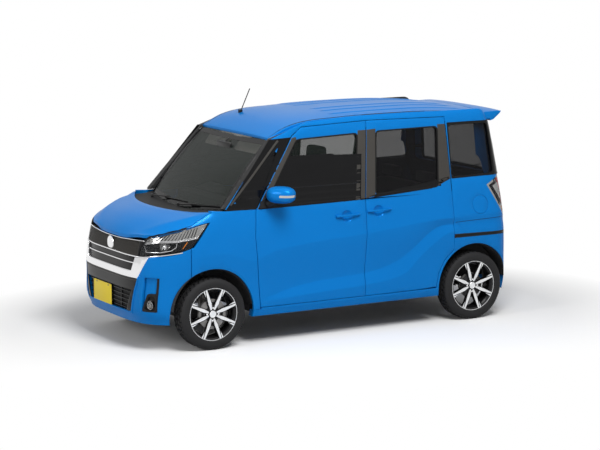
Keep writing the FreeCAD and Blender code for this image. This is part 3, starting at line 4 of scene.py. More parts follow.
import bmesh
import bpy
from bpy.props import FloatProperty, FloatVectorProperty, IntProperty, PointerProperty
from mathutils import Matrix, Vector
from mathutils.bvhtree import BVHTree

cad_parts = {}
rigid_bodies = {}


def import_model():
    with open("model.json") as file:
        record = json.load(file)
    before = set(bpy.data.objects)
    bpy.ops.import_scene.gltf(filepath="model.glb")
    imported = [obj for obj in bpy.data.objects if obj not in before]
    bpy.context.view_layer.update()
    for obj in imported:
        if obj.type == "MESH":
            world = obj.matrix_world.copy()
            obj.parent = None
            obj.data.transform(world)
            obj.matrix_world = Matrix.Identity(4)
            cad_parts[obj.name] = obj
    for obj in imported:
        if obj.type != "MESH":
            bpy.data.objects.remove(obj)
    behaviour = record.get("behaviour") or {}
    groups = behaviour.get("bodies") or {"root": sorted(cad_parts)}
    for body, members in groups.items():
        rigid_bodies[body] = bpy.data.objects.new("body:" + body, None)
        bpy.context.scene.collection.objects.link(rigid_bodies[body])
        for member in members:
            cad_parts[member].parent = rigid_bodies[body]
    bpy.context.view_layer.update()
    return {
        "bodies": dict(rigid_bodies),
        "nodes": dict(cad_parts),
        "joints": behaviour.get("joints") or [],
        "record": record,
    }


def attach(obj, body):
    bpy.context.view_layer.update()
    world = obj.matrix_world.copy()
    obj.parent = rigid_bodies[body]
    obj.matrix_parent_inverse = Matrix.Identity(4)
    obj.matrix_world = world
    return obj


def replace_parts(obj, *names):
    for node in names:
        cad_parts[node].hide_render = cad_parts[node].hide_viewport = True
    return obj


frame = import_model()
NODES = frame["nodes"]

bl_info = {
    "name": "Small tall-bodied car",
    "version": (1, 0, 0),
    "blender": (4, 5, 0),
    "location": "View3D > Sidebar > Car",
    "description": "Dresses the solids of a small tall-bodied car with its finishes and fittings",
    "category": "Object",
}

# Places shared by several pieces, in metres
AXLES = {"front": 1.1325, "rear": -1.2975}
HALF_TRACKS = {"front": 0.650, "rear": 0.645}
WHEEL_HEIGHT = 0.281
HANDS = {"left": 1, "right": -1}


class CarSizes(bpy.types.PropertyGroup):
    """Sizes and colours that a user would change"""

    paint_colour: FloatVectorProperty(
        name="Paint", description="Colour of the body", subtype="COLOR", size=3,
        default=(0.0, 0.165, 0.54), min=0, max=1)
    plate_colour: FloatVectorProperty(
        name="Plate", description="Colour of the blank licence plate", subtype="COLOR", size=3,
        default=(0.86, 0.66, 0.02), min=0, max=1)
    rim_face_colour: FloatVectorProperty(
        name="Spoke face", description="Colour of the machined faces of the wheels",
        subtype="COLOR", size=3, default=(0.78, 0.79, 0.80), min=0, max=1)
    tread_groove: FloatProperty(
        name="Tread groove", description="Depth of the grooves round the tyres",
        default=0.006, min=0.001, max=0.009, unit="LENGTH")
    spoke_pairs: IntProperty(
        name="Spoke pairs", description="Number of paired spokes in each wheel", default=4,
        min=3, max=8)
    edge_round: FloatProperty(
        name="Panel edge", description="Rounding of the edges of the body panels",
        default=0.0018, min=0.0002, max=0.004, unit="LENGTH")


# Shader building
PATCH_SCALE = 0.01
THREAD_WAVER = 0.6
ORANGE_PEEL_SCALE = 260.0


def feed(tree, source, socket):
    """Link a socket to a source, or set it to a plain value"""
    if isinstance(source, bpy.types.NodeSocket):
        tree.links.new(source, socket)
    else:
        socket.default_value = source


def worked_out(tree, operation, *terms):
    """Result of a maths node fed by sockets or plain numbers"""
    node = tree.nodes.new("ShaderNodeMath")
    node.operation = operation
    for socket, term in zip(node.inputs, terms):
        feed(tree, term, socket)
    return node.outputs[0]


def group_node(tree, group, **values):
    """A node group placed in a tree with its own values"""
    node = tree.nodes.new("ShaderNodeGroup")
    node.node_tree = group
    for name, number in values.items():
        node.inputs[name.replace("_", " ")].default_value = number
    return node


def effect_group(name, inputs, outputs):
    """An empty node group with named inputs and outputs"""
    group = bpy.data.node_groups.new(name, "ShaderNodeTree")
    for label, kind, default in inputs:
        socket = group.interface.new_socket(label, in_out="INPUT", socket_type=kind)
        socket.default_value = default
    for label, kind in outputs:
        group.interface.new_socket(label, in_out="OUTPUT", socket_type=kind)
    return group, group.nodes.new("NodeGroupInput"), group.nodes.new("NodeGroupOutput")


def object_noise(group, scale_socket, detail, rough):
    """Noise over the object's own coordinates"""
    place = group.nodes.new("ShaderNodeTexCoord")
    noise = group.nodes.new("ShaderNodeTexNoise")
    noise.inputs["Detail"].default_value = detail
    noise.inputs["Roughness"].default_value = rough
    group.links.new(place.outputs["Object"], noise.inputs["Vector"])
    group.links.new(scale_socket, noise.inputs["Scale"])
    return noise


def mix_colours(group, factor, first, second):
    """A colour mixed from two by a factor socket"""
    mix = group.nodes.new("ShaderNodeMix")
    mix.data_type = "RGBA"
    for name, source in (("Factor", factor), ("A", first), ("B", second)):
        feed(group, source, mix.inputs[name])
    return mix.outputs["Result"]


def ranged(group, source, low, high, new_low, new_high):
    """A value moved from one range to another, clamped"""
    change = group.nodes.new("ShaderNodeMapRange")
    for name, number in (("From Min", low), ("From Max", high), ("To Min", new_low),
                         ("To Max", new_high), ("Value", source)):
        feed(group, number, change.inputs[name])
    return change.outputs["Result"]


def make_grain_group():
    """Fine moulded grain: a height for bump and a slightly broken roughness"""
    group, given, out = effect_group("MouldedGrain",
        [("Scale", "NodeSocketFloat", 900.0), ("Roughness", "NodeSocketFloat", 0.5),
         ("Spread", "NodeSocketFloat", 0.08), ("Colour", "NodeSocketColor", (0, 0, 0, 1)),
         ("Worn Colour", "NodeSocketColor", (0, 0, 0, 1))],
        [("Height", "NodeSocketFloat"), ("Roughness", "NodeSocketFloat"),
         ("Colour", "NodeSocketColor")])
    fine = object_noise(group, given.outputs["Scale"], 2.0, 0.5)
    group.links.new(fine.outputs["Fac"], out.inputs["Height"])
    patch_scale = worked_out(group, "MULTIPLY", given.outputs["Scale"], PATCH_SCALE)
    slow = object_noise(group, patch_scale, 4.0, 0.6)
    group.links.new(worked_out(group, "MULTIPLY_ADD", slow.outputs["Fac"], given.outputs["Spread"],
                               given.outputs["Roughness"]), out.inputs["Roughness"])
    patch = ranged(group, slow.outputs["Fac"], 0.35, 0.75, 0.0, 1.0)
    group.links.new(mix_colours(group, patch, given.outputs["Colour"],
                                given.outputs["Worn Colour"]), out.inputs["Colour"])
    return group


def make_flake_group():
    """Metallic flakes under a clear coat: a sparkling colour and a faint orange peel"""
    group, given, out = effect_group("PaintFlakes",
        [("Colour", "NodeSocketColor", (0, 0, 0, 1)),
         ("Flake Colour", "NodeSocketColor", (1, 1, 1, 1)),
         ("Flake Size", "NodeSocketFloat", 1600.0), ("Amount", "NodeSocketFloat", 0.2)],
        [("Colour", "NodeSocketColor"), ("Peel", "NodeSocketFloat"),
         ("Metallic", "NodeSocketFloat")])
    place = group.nodes.new("ShaderNodeTexCoord")
    cells = group.nodes.new("ShaderNodeTexVoronoi")
    group.links.new(place.outputs["Object"], cells.inputs["Vector"])
    group.links.new(given.outputs["Flake Size"], cells.inputs["Scale"])
    bright = group.nodes.new("ShaderNodeSeparateColor")
    group.links.new(cells.outputs["Color"], bright.inputs["Color"])
    share = worked_out(group, "MULTIPLY", bright.outputs["Red"], given.outputs["Amount"])
    group.links.new(mix_colours(group, share, given.outputs["Colour"],
                                given.outputs["Flake Colour"]), out.inputs["Colour"])
    group.links.new(ranged(group, bright.outputs["Green"], 0, 1, 0.05, 0.3),
                    out.inputs["Metallic"])
    peel = group.nodes.new("ShaderNodeTexNoise")
    peel.inputs["Scale"].default_value = ORANGE_PEEL_SCALE
    peel.inputs["Detail"].default_value = 1.0
    group.links.new(place.outputs["Object"], peel.inputs["Vector"])
    group.links.new(peel.outputs["Fac"], out.inputs["Peel"])
    return group


def make_weave_group():
    """Woven cloth: crossing threads in height and in colour"""
    group, given, out = effect_group("WovenCloth",
        [("Scale", "NodeSocketFloat", 400.0), ("Colour", "NodeSocketColor", (0, 0, 0, 1)),
         ("Thread Colour", "NodeSocketColor", (0, 0, 0, 1))],
        [("Height", "NodeSocketFloat"), ("Colour", "NodeSocketColor")])
    place = group.nodes.new("ShaderNodeTexCoord")
    heights = []
    for direction in ("X", "Z"):
        wave = group.nodes.new("ShaderNodeTexWave")
        wave.bands_direction = direction
        wave.inputs["Distortion"].default_value = THREAD_WAVER
        group.links.new(place.outputs["Object"], wave.inputs["Vector"])
        group.links.new(given.outputs["Scale"], wave.inputs["Scale"])
        heights.append(wave.outputs["Fac"])
    cross = worked_out(group, "MULTIPLY", *heights)
    group.links.new(cross, out.inputs["Height"])
    group.links.new(mix_colours(group, cross, given.outputs["Colour"],
                                given.outputs["Thread Colour"]), out.inputs["Colour"])
    return group


LOOKS = {}
GROUPS = {}
PAPER_REACH = (3.3, 2.6, 1.0)
PAPER_BOUNCE = (0.35, 0.35, 0.35, 1)


def principled(name, **sockets):
    """A new material and its shader with plain socket values set"""
    look = bpy.data.materials.new(name)
    look.use_nodes = True
    shader = look.node_tree.nodes["Principled BSDF"]
    for label, number in sockets.items():
        shader.inputs[label.replace("_", " ")].default_value = number
    LOOKS[name] = look
    return look.node_tree, shader


def bumped(tree, shader, height, strength, distance):
    """A bump node between a height and the shader's normal"""
    bump = tree.nodes.new("ShaderNodeBump")
    bump.inputs["Strength"].default_value = strength
    bump.inputs["Distance"].default_value = distance
    tree.links.new(height, bump.inputs["Height"])
    tree.links.new(bump.outputs["Normal"], shader.inputs["Normal"])


def grained(name, colour, roughness, scale, strength, distance=0.0004, worn=1.25, **sockets):
    """Material with the moulded grain at its own scale"""
    tree, shader = principled(name, **sockets)
    lighter = tuple(min(c * worn, 1) for c in colour)
    grain = group_node(tree, GROUPS["grain"], Scale=scale, Roughness=roughness, Spread=0.1,
                       Colour=(*colour, 1), Worn_Colour=(*lighter, 1))
    tree.links.new(grain.outputs["Colour"], shader.inputs["Base Color"])
    tree.links.new(grain.outputs["Roughness"], shader.inputs["Roughness"])
    bumped(tree, shader, grain.outputs["Height"], strength, distance)


def glassy(name, colour, clear, roughness=0.01, **sockets):
    """Sheet glass or clear plastic that shows what lies behind it, more so face on"""
    tree, shader = principled(name, Roughness=roughness, **sockets)
    smudge = group_node(tree, GROUPS["grain"], Scale=300.0, Roughness=roughness, Spread=0.03,
                        Colour=(*colour, 1), Worn_Colour=(*[c * 1.1 for c in colour], 1))
    tree.links.new(smudge.outputs["Colour"], shader.inputs["Base Color"])
    facing = tree.nodes.new("ShaderNodeLayerWeight")
    facing.inputs["Blend"].default_value = 0.25
    tree.links.new(ranged(tree, facing.outputs["Facing"], 0, 1, clear, 1), shader.inputs["Alpha"])


def seen_directly(tree):
    """One for rays from the camera and for those reflected or passed on by metal and glass"""
    ray = tree.nodes.new("ShaderNodeLightPath")
    found = ray.outputs["Is Camera Ray"]
    for name in ("Is Glossy Ray", "Is Transmission Ray"):
        found = worked_out(tree, "MAXIMUM", found, ray.outputs[name])
    return found


def far_white(tree, shader):
    """Let the floor run into plain white for the camera, away from the car's shadow, and send
    less light back up at the car than the camera sees"""
    dull = tree.nodes.new("ShaderNodeBsdfDiffuse")
    dull.inputs["Color"].default_value = PAPER_BOUNCE
    near = tree.nodes.new("ShaderNodeMixShader")
    tree.links.new(seen_directly(tree), near.inputs["Fac"])
    tree.links.new(dull.outputs[0], near.inputs[1])
    tree.links.new(shader.outputs[0], near.inputs[2])
    place = tree.nodes.new("ShaderNodeTexCoord")
    squash = tree.nodes.new("ShaderNodeVectorMath")
    squash.operation = "DIVIDE"
    squash.inputs[1].default_value = PAPER_REACH
    length = tree.nodes.new("ShaderNodeVectorMath")
    length.operation = "LENGTH"
    tree.links.new(place.outputs["Object"], squash.inputs[0])
    tree.links.new(squash.outputs["Vector"], length.inputs[0])
    away = ranged(tree, length.outputs["Value"], 0.72, 1.0, 0.0, 1.0)
    share = worked_out(tree, "MULTIPLY", seen_directly(tree), away)
    white = tree.nodes.new("ShaderNodeEmission")
    mix = tree.nodes.new("ShaderNodeMixShader")
    tree.links.new(share, mix.inputs["Fac"])
    tree.links.new(near.outputs[0], mix.inputs[1])
    tree.links.new(white.outputs[0], mix.inputs[2])
    tree.links.new(mix.outputs[0], tree.nodes["Material Output"].inputs["Surface"])


class CAR_OT_finishes(bpy.types.Operator):
    """Make the materials of the car"""

    bl_idname = "car.finishes"
    bl_label = "Finishes"

    def execute(self, context):
        sizes = context.scene.car_sizes
        GROUPS["grain"] = make_grain_group()
        GROUPS["flakes"] = make_flake_group()
        GROUPS["weave"] = make_weave_group()
        paint = tuple(sizes.paint_colour)
        tree, shader = principled("BodyPaint", Roughness=0.30, Specular_IOR_Level=0.06,
                                  Coat_Weight=0.05, Coat_Roughness=0.03, Coat_IOR=1.5)
        flakes = group_node(tree, GROUPS["flakes"], Colour=(*paint, 1),
                            Flake_Colour=(0.02, 0.34, 0.88, 1), Flake_Size=1500.0, Amount=0.25)
        tree.links.new(flakes.outputs["Colour"], shader.inputs["Base Color"])
        tree.links.new(flakes.outputs["Metallic"], shader.inputs["Metallic"])
        bumped(tree, shader, flakes.outputs["Peel"], 0.05, 0.0003)
        grained("GlossBlack", (0.003, 0.003, 0.0035), 0.08, 600.0, 0.02, Specular_IOR_Level=0.2)
        grained("SatinBlack", (0.012, 0.012, 0.012), 0.30, 700.0, 0.05, Specular_IOR_Level=0.25)
        grained("PillarSatin", (0.045, 0.042, 0.038), 0.34, 700.0, 0.05, worn=1.1,
                Specular_IOR_Level=0.25)
        grained("MouldedBlack", (0.009, 0.009, 0.0095), 0.55, 900.0, 0.35, Specular_IOR_Level=0.2)
        grained("Rubber", (0.006, 0.006, 0.006), 0.62, 1200.0, 0.3, Specular_IOR_Level=0.15)
        grained("TyreRubber", (0.018, 0.018, 0.019), 0.66, 500.0, 0.35, distance=0.0006,
                Specular_IOR_Level=0.2)
        grained("Underbody", (0.014, 0.014, 0.015), 0.75, 200.0, 0.4, distance=0.001)
        grained("Chrome", (0.80, 0.80, 0.81), 0.05, 400.0, 0.01, worn=1.02, Metallic=1.0)
        grained("LampSilver", (0.46, 0.46, 0.45), 0.16, 300.0, 0.02, worn=1.2, Metallic=1.0)
        grained("SpokeFace", tuple(sizes.rim_face_colour), 0.24, 900.0, 0.05, worn=1.05,
                Metallic=0.85)
        grained("SpokeBlack", (0.005, 0.005, 0.0055), 0.18, 700.0, 0.03, Specular_IOR_Level=0.2)
        grained("CastIron", (0.20, 0.195, 0.19), 0.42, 350.0, 0.3, Metallic=0.9)
        grained("DarkMetal", (0.05, 0.05, 0.052), 0.5, 300.0, 0.25, Metallic=0.6)
        grained("DashPlastic", (0.030, 0.030, 0.031), 0.6, 1100.0, 0.4)
        grained("CabinLining", (0.42, 0.40, 0.36), 0.75, 800.0, 0.3)
        grained("CabinPanel", (0.022, 0.022, 0.023), 0.7, 900.0, 0.3, Specular_IOR_Level=0.2)
        grained("PlateEnamel", tuple(sizes.plate_colour), 0.38, 300.0, 0.03, worn=1.04)
        grained("AmberLens", (0.75, 0.22, 0.02), 0.25, 400.0, 0.05, Specular_IOR_Level=0.15)
        grained("RedLens", (0.42, 0.01, 0.012), 0.25, 400.0, 0.04, Specular_IOR_Level=0.15)
        grained("MirrorSilver", (0.85, 0.86, 0.87), 0.02, 100.0, 0.0, worn=1.0, Metallic=1.0)
        tree, shader = principled("SeatCloth", Roughness=0.9, Sheen_Weight=0.25,
                                  Sheen_Roughness=0.5)
        weave = group_node(tree, GROUPS["weave"], Scale=350.0, Colour=(0.030, 0.028, 0.027, 1),
                           Thread_Colour=(0.075, 0.070, 0.066, 1))
        tree.links.new(weave.outputs["Colour"], shader.inputs["Base Color"])
        bumped(tree, shader, weave.outputs["Height"], 0.5, 0.0006)
        glassy("ClearGlass", (0.016, 0.022, 0.019), 0.22, Specular_IOR_Level=0.25)
        glassy("PrivacyGlass", (0.004, 0.004, 0.005), 0.42, Specular_IOR_Level=0.2)
        glassy("LampLens", (0.05, 0.055, 0.06), 0.08)
        tree, shader = principled("FloorPaper", Roughness=0.9)
        ground = group_node(tree, GROUPS["grain"], Scale=60.0, Roughness=0.85, Spread=0.05,
                            Colour=(0.88, 0.88, 0.88, 1), Worn_Colour=(0.89, 0.89, 0.89, 1))
        tree.links.new(ground.outputs["Colour"], shader.inputs["Base Color"])
        far_white(tree, shader)
        return {"FINISHED"}


# Piece building
def smooth_group(limit_degrees):
    """Geometry nodes that shade smooth and keep edges sharper than a limit"""
    name = "SmoothBy%d" % limit_degrees
    if name in bpy.data.node_groups:
        return bpy.data.node_groups[name]
    group = bpy.data.node_groups.new(name, "GeometryNodeTree")
    for in_out in ("INPUT", "OUTPUT"):
        group.interface.new_socket("Geometry", in_out=in_out, socket_type="NodeSocketGeometry")
    given, out = group.nodes.new("NodeGroupInput"), group.nodes.new("NodeGroupOutput")
    faces, edges = [group.nodes.new("GeometryNodeSetShadeSmooth") for _ in range(2)]
    faces.domain, edges.domain = "FACE", "EDGE"
    angle = group.nodes.new("GeometryNodeInputMeshEdgeAngle")
    sharp = group.nodes.new("FunctionNodeCompare")
    sharp.operation = "GREATER_THAN"
    sharp.inputs[1].default_value = math.radians(limit_degrees)
    edges.inputs["Shade Smooth"].default_value = False
    group.links.new(angle.outputs["Unsigned Angle"], sharp.inputs[0])
    group.links.new(given.outputs[0], faces.inputs["Geometry"])
    group.links.new(faces.outputs[0], edges.inputs["Geometry"])
    group.links.new(sharp.outputs[0], edges.inputs["Selection"])
    group.links.new(edges.outputs[0], out.inputs[0])
    return group


def soften(piece, width, limit_degrees=30, segments=2):
    """Round the sharp edges a little and shade the rest smooth"""
    if width:
        bevel = piece.modifiers.new("EdgeRound", "BEVEL")
        bevel.width, bevel.segments = width, segments
        bevel.limit_method, bevel.angle_limit = "ANGLE", math.radians(limit_degrees)
        bevel.use_clamp_overlap = True
    shade = piece.modifiers.new("Smooth", "NODES")
    shade.node_group = smooth_group(limit_degrees)


SLOT_OF = {"GlossBlack": "black_trim", "SatinBlack": "black_trim", "PillarSatin": "black_trim",
           "MouldedBlack": "black_trim", "Rubber": "black_trim", "BodyPaint": "body_paint",
           "Chrome": "chrome", "LampLens": "lamp_lens", "RedLens": "lamp_lens", "CastIron": "iron",
           "Underbody": "underbody"}


def piece_from(shape, name, body, look, slot="", width=0.0, limit=30):
    """Turn a bmesh into a piece that rides on a body; a slot is worked out from its look unless
    told, but it is not kept
    """
    mesh = bpy.data.meshes.new(name)
    shape.to_mesh(mesh)
    shape.free()
    piece = bpy.data.objects.new(name, mesh)
    bpy.context.scene.collection.objects.link(piece)
    mesh.materials.append(LOOKS[look])
    soften(piece, width, limit)
    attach(piece, body)
    if slot == "":
        slot = SLOT_OF.get(look)
    return piece


def mirror_over(shape):
    """Turn a left-hand shape into its right-hand twin"""
    bmesh.ops.scale(shape, vec=(1, -1, 1), verts=shape.verts)
    bmesh.ops.reverse_faces(shape, faces=shape.faces)
    return shape


def twin_pieces(build, name, bodies, look, **options):
    """Make a piece on the left and its twin on the right"""
    made = []
    for hand in HANDS:
        shape = build()
        if hand == "right":
            mirror_over(shape)
        body = bodies if isinstance(bodies, str) else bodies[hand]
        if body.endswith("_"):
            body += hand
        made.append(piece_from(shape, "%s_%s" % (name, hand), body, look, **options))
    return made


def face_from(shape, points):
    """One face through a loop of points"""
    return bmesh.ops.contextual_create(shape,
                                       geom=[shape.verts.new(p) for p in points])["faces"][0]


def rectangle(low, high):
    """Outline of a rectangle between two opposite corners"""
    return [low, (high[0], low[1]), high, (low[0], high[1])]


PLANES = {"side": (0, 2, 1), "front": (1, 2, 0), "plan": (0, 1, 2)}


def put(plane, first, second, depth):
    """Point from two drawing coordinates and a depth"""
    a, b, c = PLANES[plane]
    spot = [0, 0, 0]
    spot[a], spot[b], spot[c] = first, second, depth
    return Vector(spot)


def thicken(shape, faces, move):
    """Give faces a thickness by a copy of them moved out"""
    pushed = bmesh.ops.extrude_face_region(shape, geom=faces, use_keep_orig=True)["geom"]
    bmesh.ops.translate(shape, vec=move,
                        verts=[v for v in pushed if isinstance(v, bmesh.types.BMVert)])


def slab(plane, points, start, end):
    """Solid between two depths with a drawn outline"""
    shape = bmesh.new()
    face = face_from(shape, [put(plane, a, b, start) for a, b in points])
    thicken(shape, [face], put(plane, 0, 0, end - start))
    bmesh.ops.recalc_face_normals(shape, faces=shape.faces)
    return shape


def placed(shape, degrees, axis, spot):
    """Turn a shape about the origin and move it to its place"""
    bmesh.ops.rotate(shape, matrix=Matrix.Rotation(math.radians(degrees), 3, axis),
                     verts=shape.verts)
    bmesh.ops.translate(shape, vec=spot, verts=shape.verts)
    return shape


def join(shape, *others):
    """Add other shapes to one"""
    for other in others:
        holder = bpy.data.meshes.new("holder")
        other.to_mesh(holder)
        other.free()
        shape.from_mesh(holder)
        bpy.data.meshes.remove(holder)
    return shape


def bar(start, end, radius, sides=16, radius_end=None):
    """Round bar between two points"""
    shape = bmesh.new()
    start, end = Vector(start), Vector(end)
    along = end - start
    bmesh.ops.create_cone(shape, cap_ends=True, segments=sides, radius1=radius,
                          radius2=radius if radius_end is None else radius_end, depth=along.length)
    bmesh.ops.transform(shape, matrix=Matrix.Translation((start + end) / 2)
                        @ along.to_track_quat("Z", "Y").to_matrix().to_4x4(), verts=shape.verts)
    return shape


def block(low, high):
    """Box between two corners"""
    shape = bmesh.new()
    low, high = Vector(low), Vector(high)
    bmesh.ops.create_cube(shape, size=1)
    bmesh.ops.scale(shape, vec=high - low, verts=shape.verts)
    bmesh.ops.translate(shape, vec=(low + high) / 2, verts=shape.verts)
    return shape


def lathe(profile, steps):
    """Round piece about an axle along Y from pairs of distance outwards and radius"""
    shape = bmesh.new()
    corners = [shape.verts.new((0, a, r)) for a, r in profile]
    edges = [shape.edges.new((corners[i], corners[i + 1])) for i in range(len(corners) - 1)]
    bmesh.ops.spin(shape, geom=corners + edges, cent=(0, 0, 0), axis=(0, 1, 0),
                   angle=2 * math.pi, steps=steps, use_merge=True)
    bmesh.ops.remove_doubles(shape, verts=shape.verts, dist=1e-6)
    bmesh.ops.recalc_face_normals(shape, faces=shape.faces)
    return shape


def skin_of(*names):
    """Ray target made from the meshes of some CAD nodes"""
    points, faces = [], []
    for name in names:
        mesh = NODES[name].data
        first = len(points)
        points += [v.co.copy() for v in mesh.vertices]
        faces += [[first + k for k in p.vertices] for p in mesh.polygons]
    return BVHTree.FromPolygons(points, faces)


def cut_with(shape, place, normal, **options):
    """Cut a shape with a plane"""
    bmesh.ops.bisect_plane(shape, geom=shape.verts[:] + shape.edges[:] + shape.faces[:],
                           plane_co=place, plane_no=normal, **options)


def divide(shape, plane, step):
    """Cut a flat shape into cells along both drawing directions"""
    a, b, _ = PLANES[plane]
    for index in (a, b):
        low = min(v.co[index] for v in shape.verts)
        high = max(v.co[index] for v in shape.verts)
        normal = Vector([1 if k == index else 0 for k in range(3)])
        for k in range(1, int((high - low) / step) + 1):
            cut_with(shape, normal * (low + k * step), normal, dist=1e-5)


def press(shape, plane, skin, lift, side=1, reach=2.0):
    """Move each corner along the depth onto a skin, and out by a lift"""
    _, _, c = PLANES[plane]
    for corner in shape.verts:
        start = corner.co.copy()
        start[c] = side * reach
        aim = put(plane, 0, 0, -side)
        spot = skin.ray_cast(start, aim)[0]
        if spot is None:
            spot = skin.find_nearest(corner.co)[0]
        corner.co[c] = spot[c] + side * lift


def sheet_on(plane, points, skin, lift, thickness, side=1, step=0.02, ring=None):
    """Thin sheet with a drawn outline, pressed onto a skin"""
    shape = bmesh.new()
    face = face_from(shape, [put(plane, a, b, 0) for a, b in points])
    if ring:
        bmesh.ops.inset_region(shape, faces=[face], thickness=ring, use_boundary=True,
                               use_even_offset=True)
        bmesh.ops.delete(shape, geom=[face], context="FACES")
    many = [f for f in shape.faces if len(f.verts) > 4]
    bmesh.ops.triangulate(shape, faces=many, ngon_method="EAR_CLIP")
    divide(shape, plane, step)
    bmesh.ops.recalc_face_normals(shape, faces=shape.faces)
    _, _, c = PLANES[plane]
    if sum(f.normal[c] for f in shape.faces) * side < 0:
        bmesh.ops.reverse_faces(shape, faces=shape.faces)
    press(shape, plane, skin, lift - thickness, side)
    thicken(shape, shape.faces[:], put(plane, 0, 0, side * thickness))
    bmesh.ops.recalc_face_normals(shape, faces=shape.faces)
    return shape


# Body surfaces, repeated from the construction's sizes, in metres
LENGTH_HALF, WIDTH_HALF = 1.6975, 0.7375
NOSE_START, TAIL_START = 0.900, -1.400
TUCK = ((0.230, 0.024), (0.292, 0.008), (0.520, 0.012), (0.770, 0.006), (0.920, 0.017),
        (1.085, 0.044), (1.360, 0.088), (1.620, 0.132), (1.736, 0.168), (1.800, 0.258))
NOSE_SET = ((0.216, 0.037), (0.310, 0.0), (0.560, 0.0), (0.640, 0.006), (0.740, 0.020),
            (0.845, 0.042), (0.900, 0.060), (0.960, 0.115), (1.010, 0.200), (1.070, 0.380))
TAIL_SET = ((0.216, 0.008), (0.330, 0.0), (0.560, 0.0), (0.700, 0.008), (1.000, 0.030),
            (1.250, 0.070), (1.640, 0.140), (1.780, 0.200))


def curve(place, stations):
    """Smooth curve through the stations, level beyond them"""
    if place <= stations[0][0]:
        return stations[0][1]
    if place >= stations[-1][0]:
        return stations[-1][1]
    k = max(i for i in range(len(stations) - 1) if stations[i][0] <= place)

    def slope(i):
        before, after = stations[max(i - 1, 0)], stations[min(i + 1, len(stations) - 1)]
        return (after[1] - before[1]) / (after[0] - before[0])

    (a, low), (b, high) = stations[k], stations[k + 1]
    part = (place - a) / (b - a)
    blend = part * part * (3 - 2 * part)
    bend = (b - a) * part * (1 - part)
    return low + (high - low) * blend + bend * (slope(k) * (1 - part) - slope(k + 1) * part)


def half_width(z):
    """Half width of the body at a height, away from its ends"""
    return WIDTH_HALF - curve(z, TUCK)


def rounded_share(share, power):
    """Height of a rounded rectangle's corner at a share of its reach"""
    return (1 - min(abs(share), 0.995) ** power) ** (1 / power)


def side_depth(x, z):
    """Half width of the body at a place along it and a height"""
    if x > NOSE_START:
        return half_width(z) * rounded_share(
            (x - NOSE_START) / (LENGTH_HALF - curve(z, NOSE_SET) - NOSE_START), 4)
    if x < TAIL_START:
        return half_width(z) * rounded_share(
            (TAIL_START - x) / (LENGTH_HALF - curve(z, TAIL_SET) + TAIL_START), 5)
    return half_width(z)


def nose_depth(y, z):
    """Place of the nose's surface along the car"""
    reach = LENGTH_HALF - curve(z, NOSE_SET) - NOSE_START
    return NOSE_START + reach * rounded_share(y / half_width(z), 4)


def tail_depth(y, z):
    """Distance of the tail's surface behind the middle"""
    reach = LENGTH_HALF - curve(z, TAIL_SET) + TAIL_START
    return -TAIL_START + reach * rounded_share(y / half_width(z), 5)


def bend(shape, way):
    """Lay a shape drawn flat, with its depth as a lift, onto the body's surface"""
    for corner in shape.verts:
        x, y, z = corner.co
        if way == "side":
            corner.co.y = side_depth(x, z) + y
        elif way == "front":
            corner.co.x = nose_depth(y, z) + x
        elif way == "rear":
            corner.co.x = -tail_depth(y, z) + x
        else:
            reach = LENGTH_HALF - curve(z, NOSE_SET) - NOSE_START + x
            wide = half_width(z) + x
            radius = ((abs(math.cos(y)) / reach) ** 4 + (abs(math.sin(y)) / wide) ** 4) ** -0.25
            corner.co.x = NOSE_START + radius * math.cos(y)
            corner.co.y = radius * math.sin(y)
    bmesh.ops.recalc_face_normals(shape, faces=shape.faces)
    return shape


def drawn_in(points, amount):
    """Outline drawn in by an amount along every edge, or out by a negative one"""
    count = len(points)
    area = sum(points[i][0] * points[(i + 1) % count][1]
               - points[(i + 1) % count][0] * points[i][1] for i in range(count))
    hand = 1 if area > 0 else -1
    drawn = []
    for i in range(count):
        before, here, after = (Vector(points[k % count]) for k in (i - 1, i, i + 1))
        first, second = (here - before).normalized(), (after - here).normalized()
        first, second = Vector((-first.y, first.x)) * hand, Vector((-second.y, second.x)) * hand
        turn = first + second
        drawn.append(here + turn * (amount / max(turn.dot(first), 0.2)))
    return [tuple(p) for p in drawn]


def rounded(points, radius, steps=4):
    """Outline with each corner rounded"""
    count = len(points)
    smooth = []
    for i in range(count):
        before, here, after = (Vector(points[k % count]) for k in (i - 1, i, i + 1))
        arm = min(radius, (before - here).length / 2, (after - here).length / 2)
        start = here + (before - here).normalized() * arm
        end = here + (after - here).normalized() * arm
        for k in range(steps + 1):
            t = k / steps
            smooth.append(tuple(start * (1 - t) ** 2 + here * 2 * t * (1 - t) + end * t ** 2))
    return smooth


FLAT = {"side": "side", "front": "front", "rear": "front", "corner": "front"}


def trim(way, points, lift, thickness, step=0.03):
    """Thin piece with a drawn outline laid on the body, its outer face lifted off it"""
    sign = -1 if way == "rear" else 1
    shape = slab(FLAT[way], points, sign * (lift - thickness), sign * lift)
    many = [f for f in shape.faces if len(f.verts) > 4]
    bmesh.ops.triangulate(shape, faces=many, ngon_method="EAR_CLIP")
    divide(shape, FLAT[way], step)
    return bend(shape, way)


def trim_ring(way, outer, inner, lift, thickness, step=0.03, closed=True):
    """Band between two outlines, or between two open lines, laid on the body"""
    sign = -1 if way == "rear" else 1
    plane = FLAT[way]
    shape = bmesh.new()
    edges = []
    for points in (outer, inner):
        corners = [shape.verts.new(put(plane, a, b, sign * (lift - thickness))) for a, b in points]
        edges += [shape.edges.new((corners[i - 1], corners[i]))
                  for i in range(0 if closed else 1, len(corners))]
    bmesh.ops.bridge_loops(shape, edges=edges)
    thicken(shape, shape.faces[:], put(plane, 0, 0, sign * thickness))
    divide(shape, plane, step)
    return bend(shape, way)


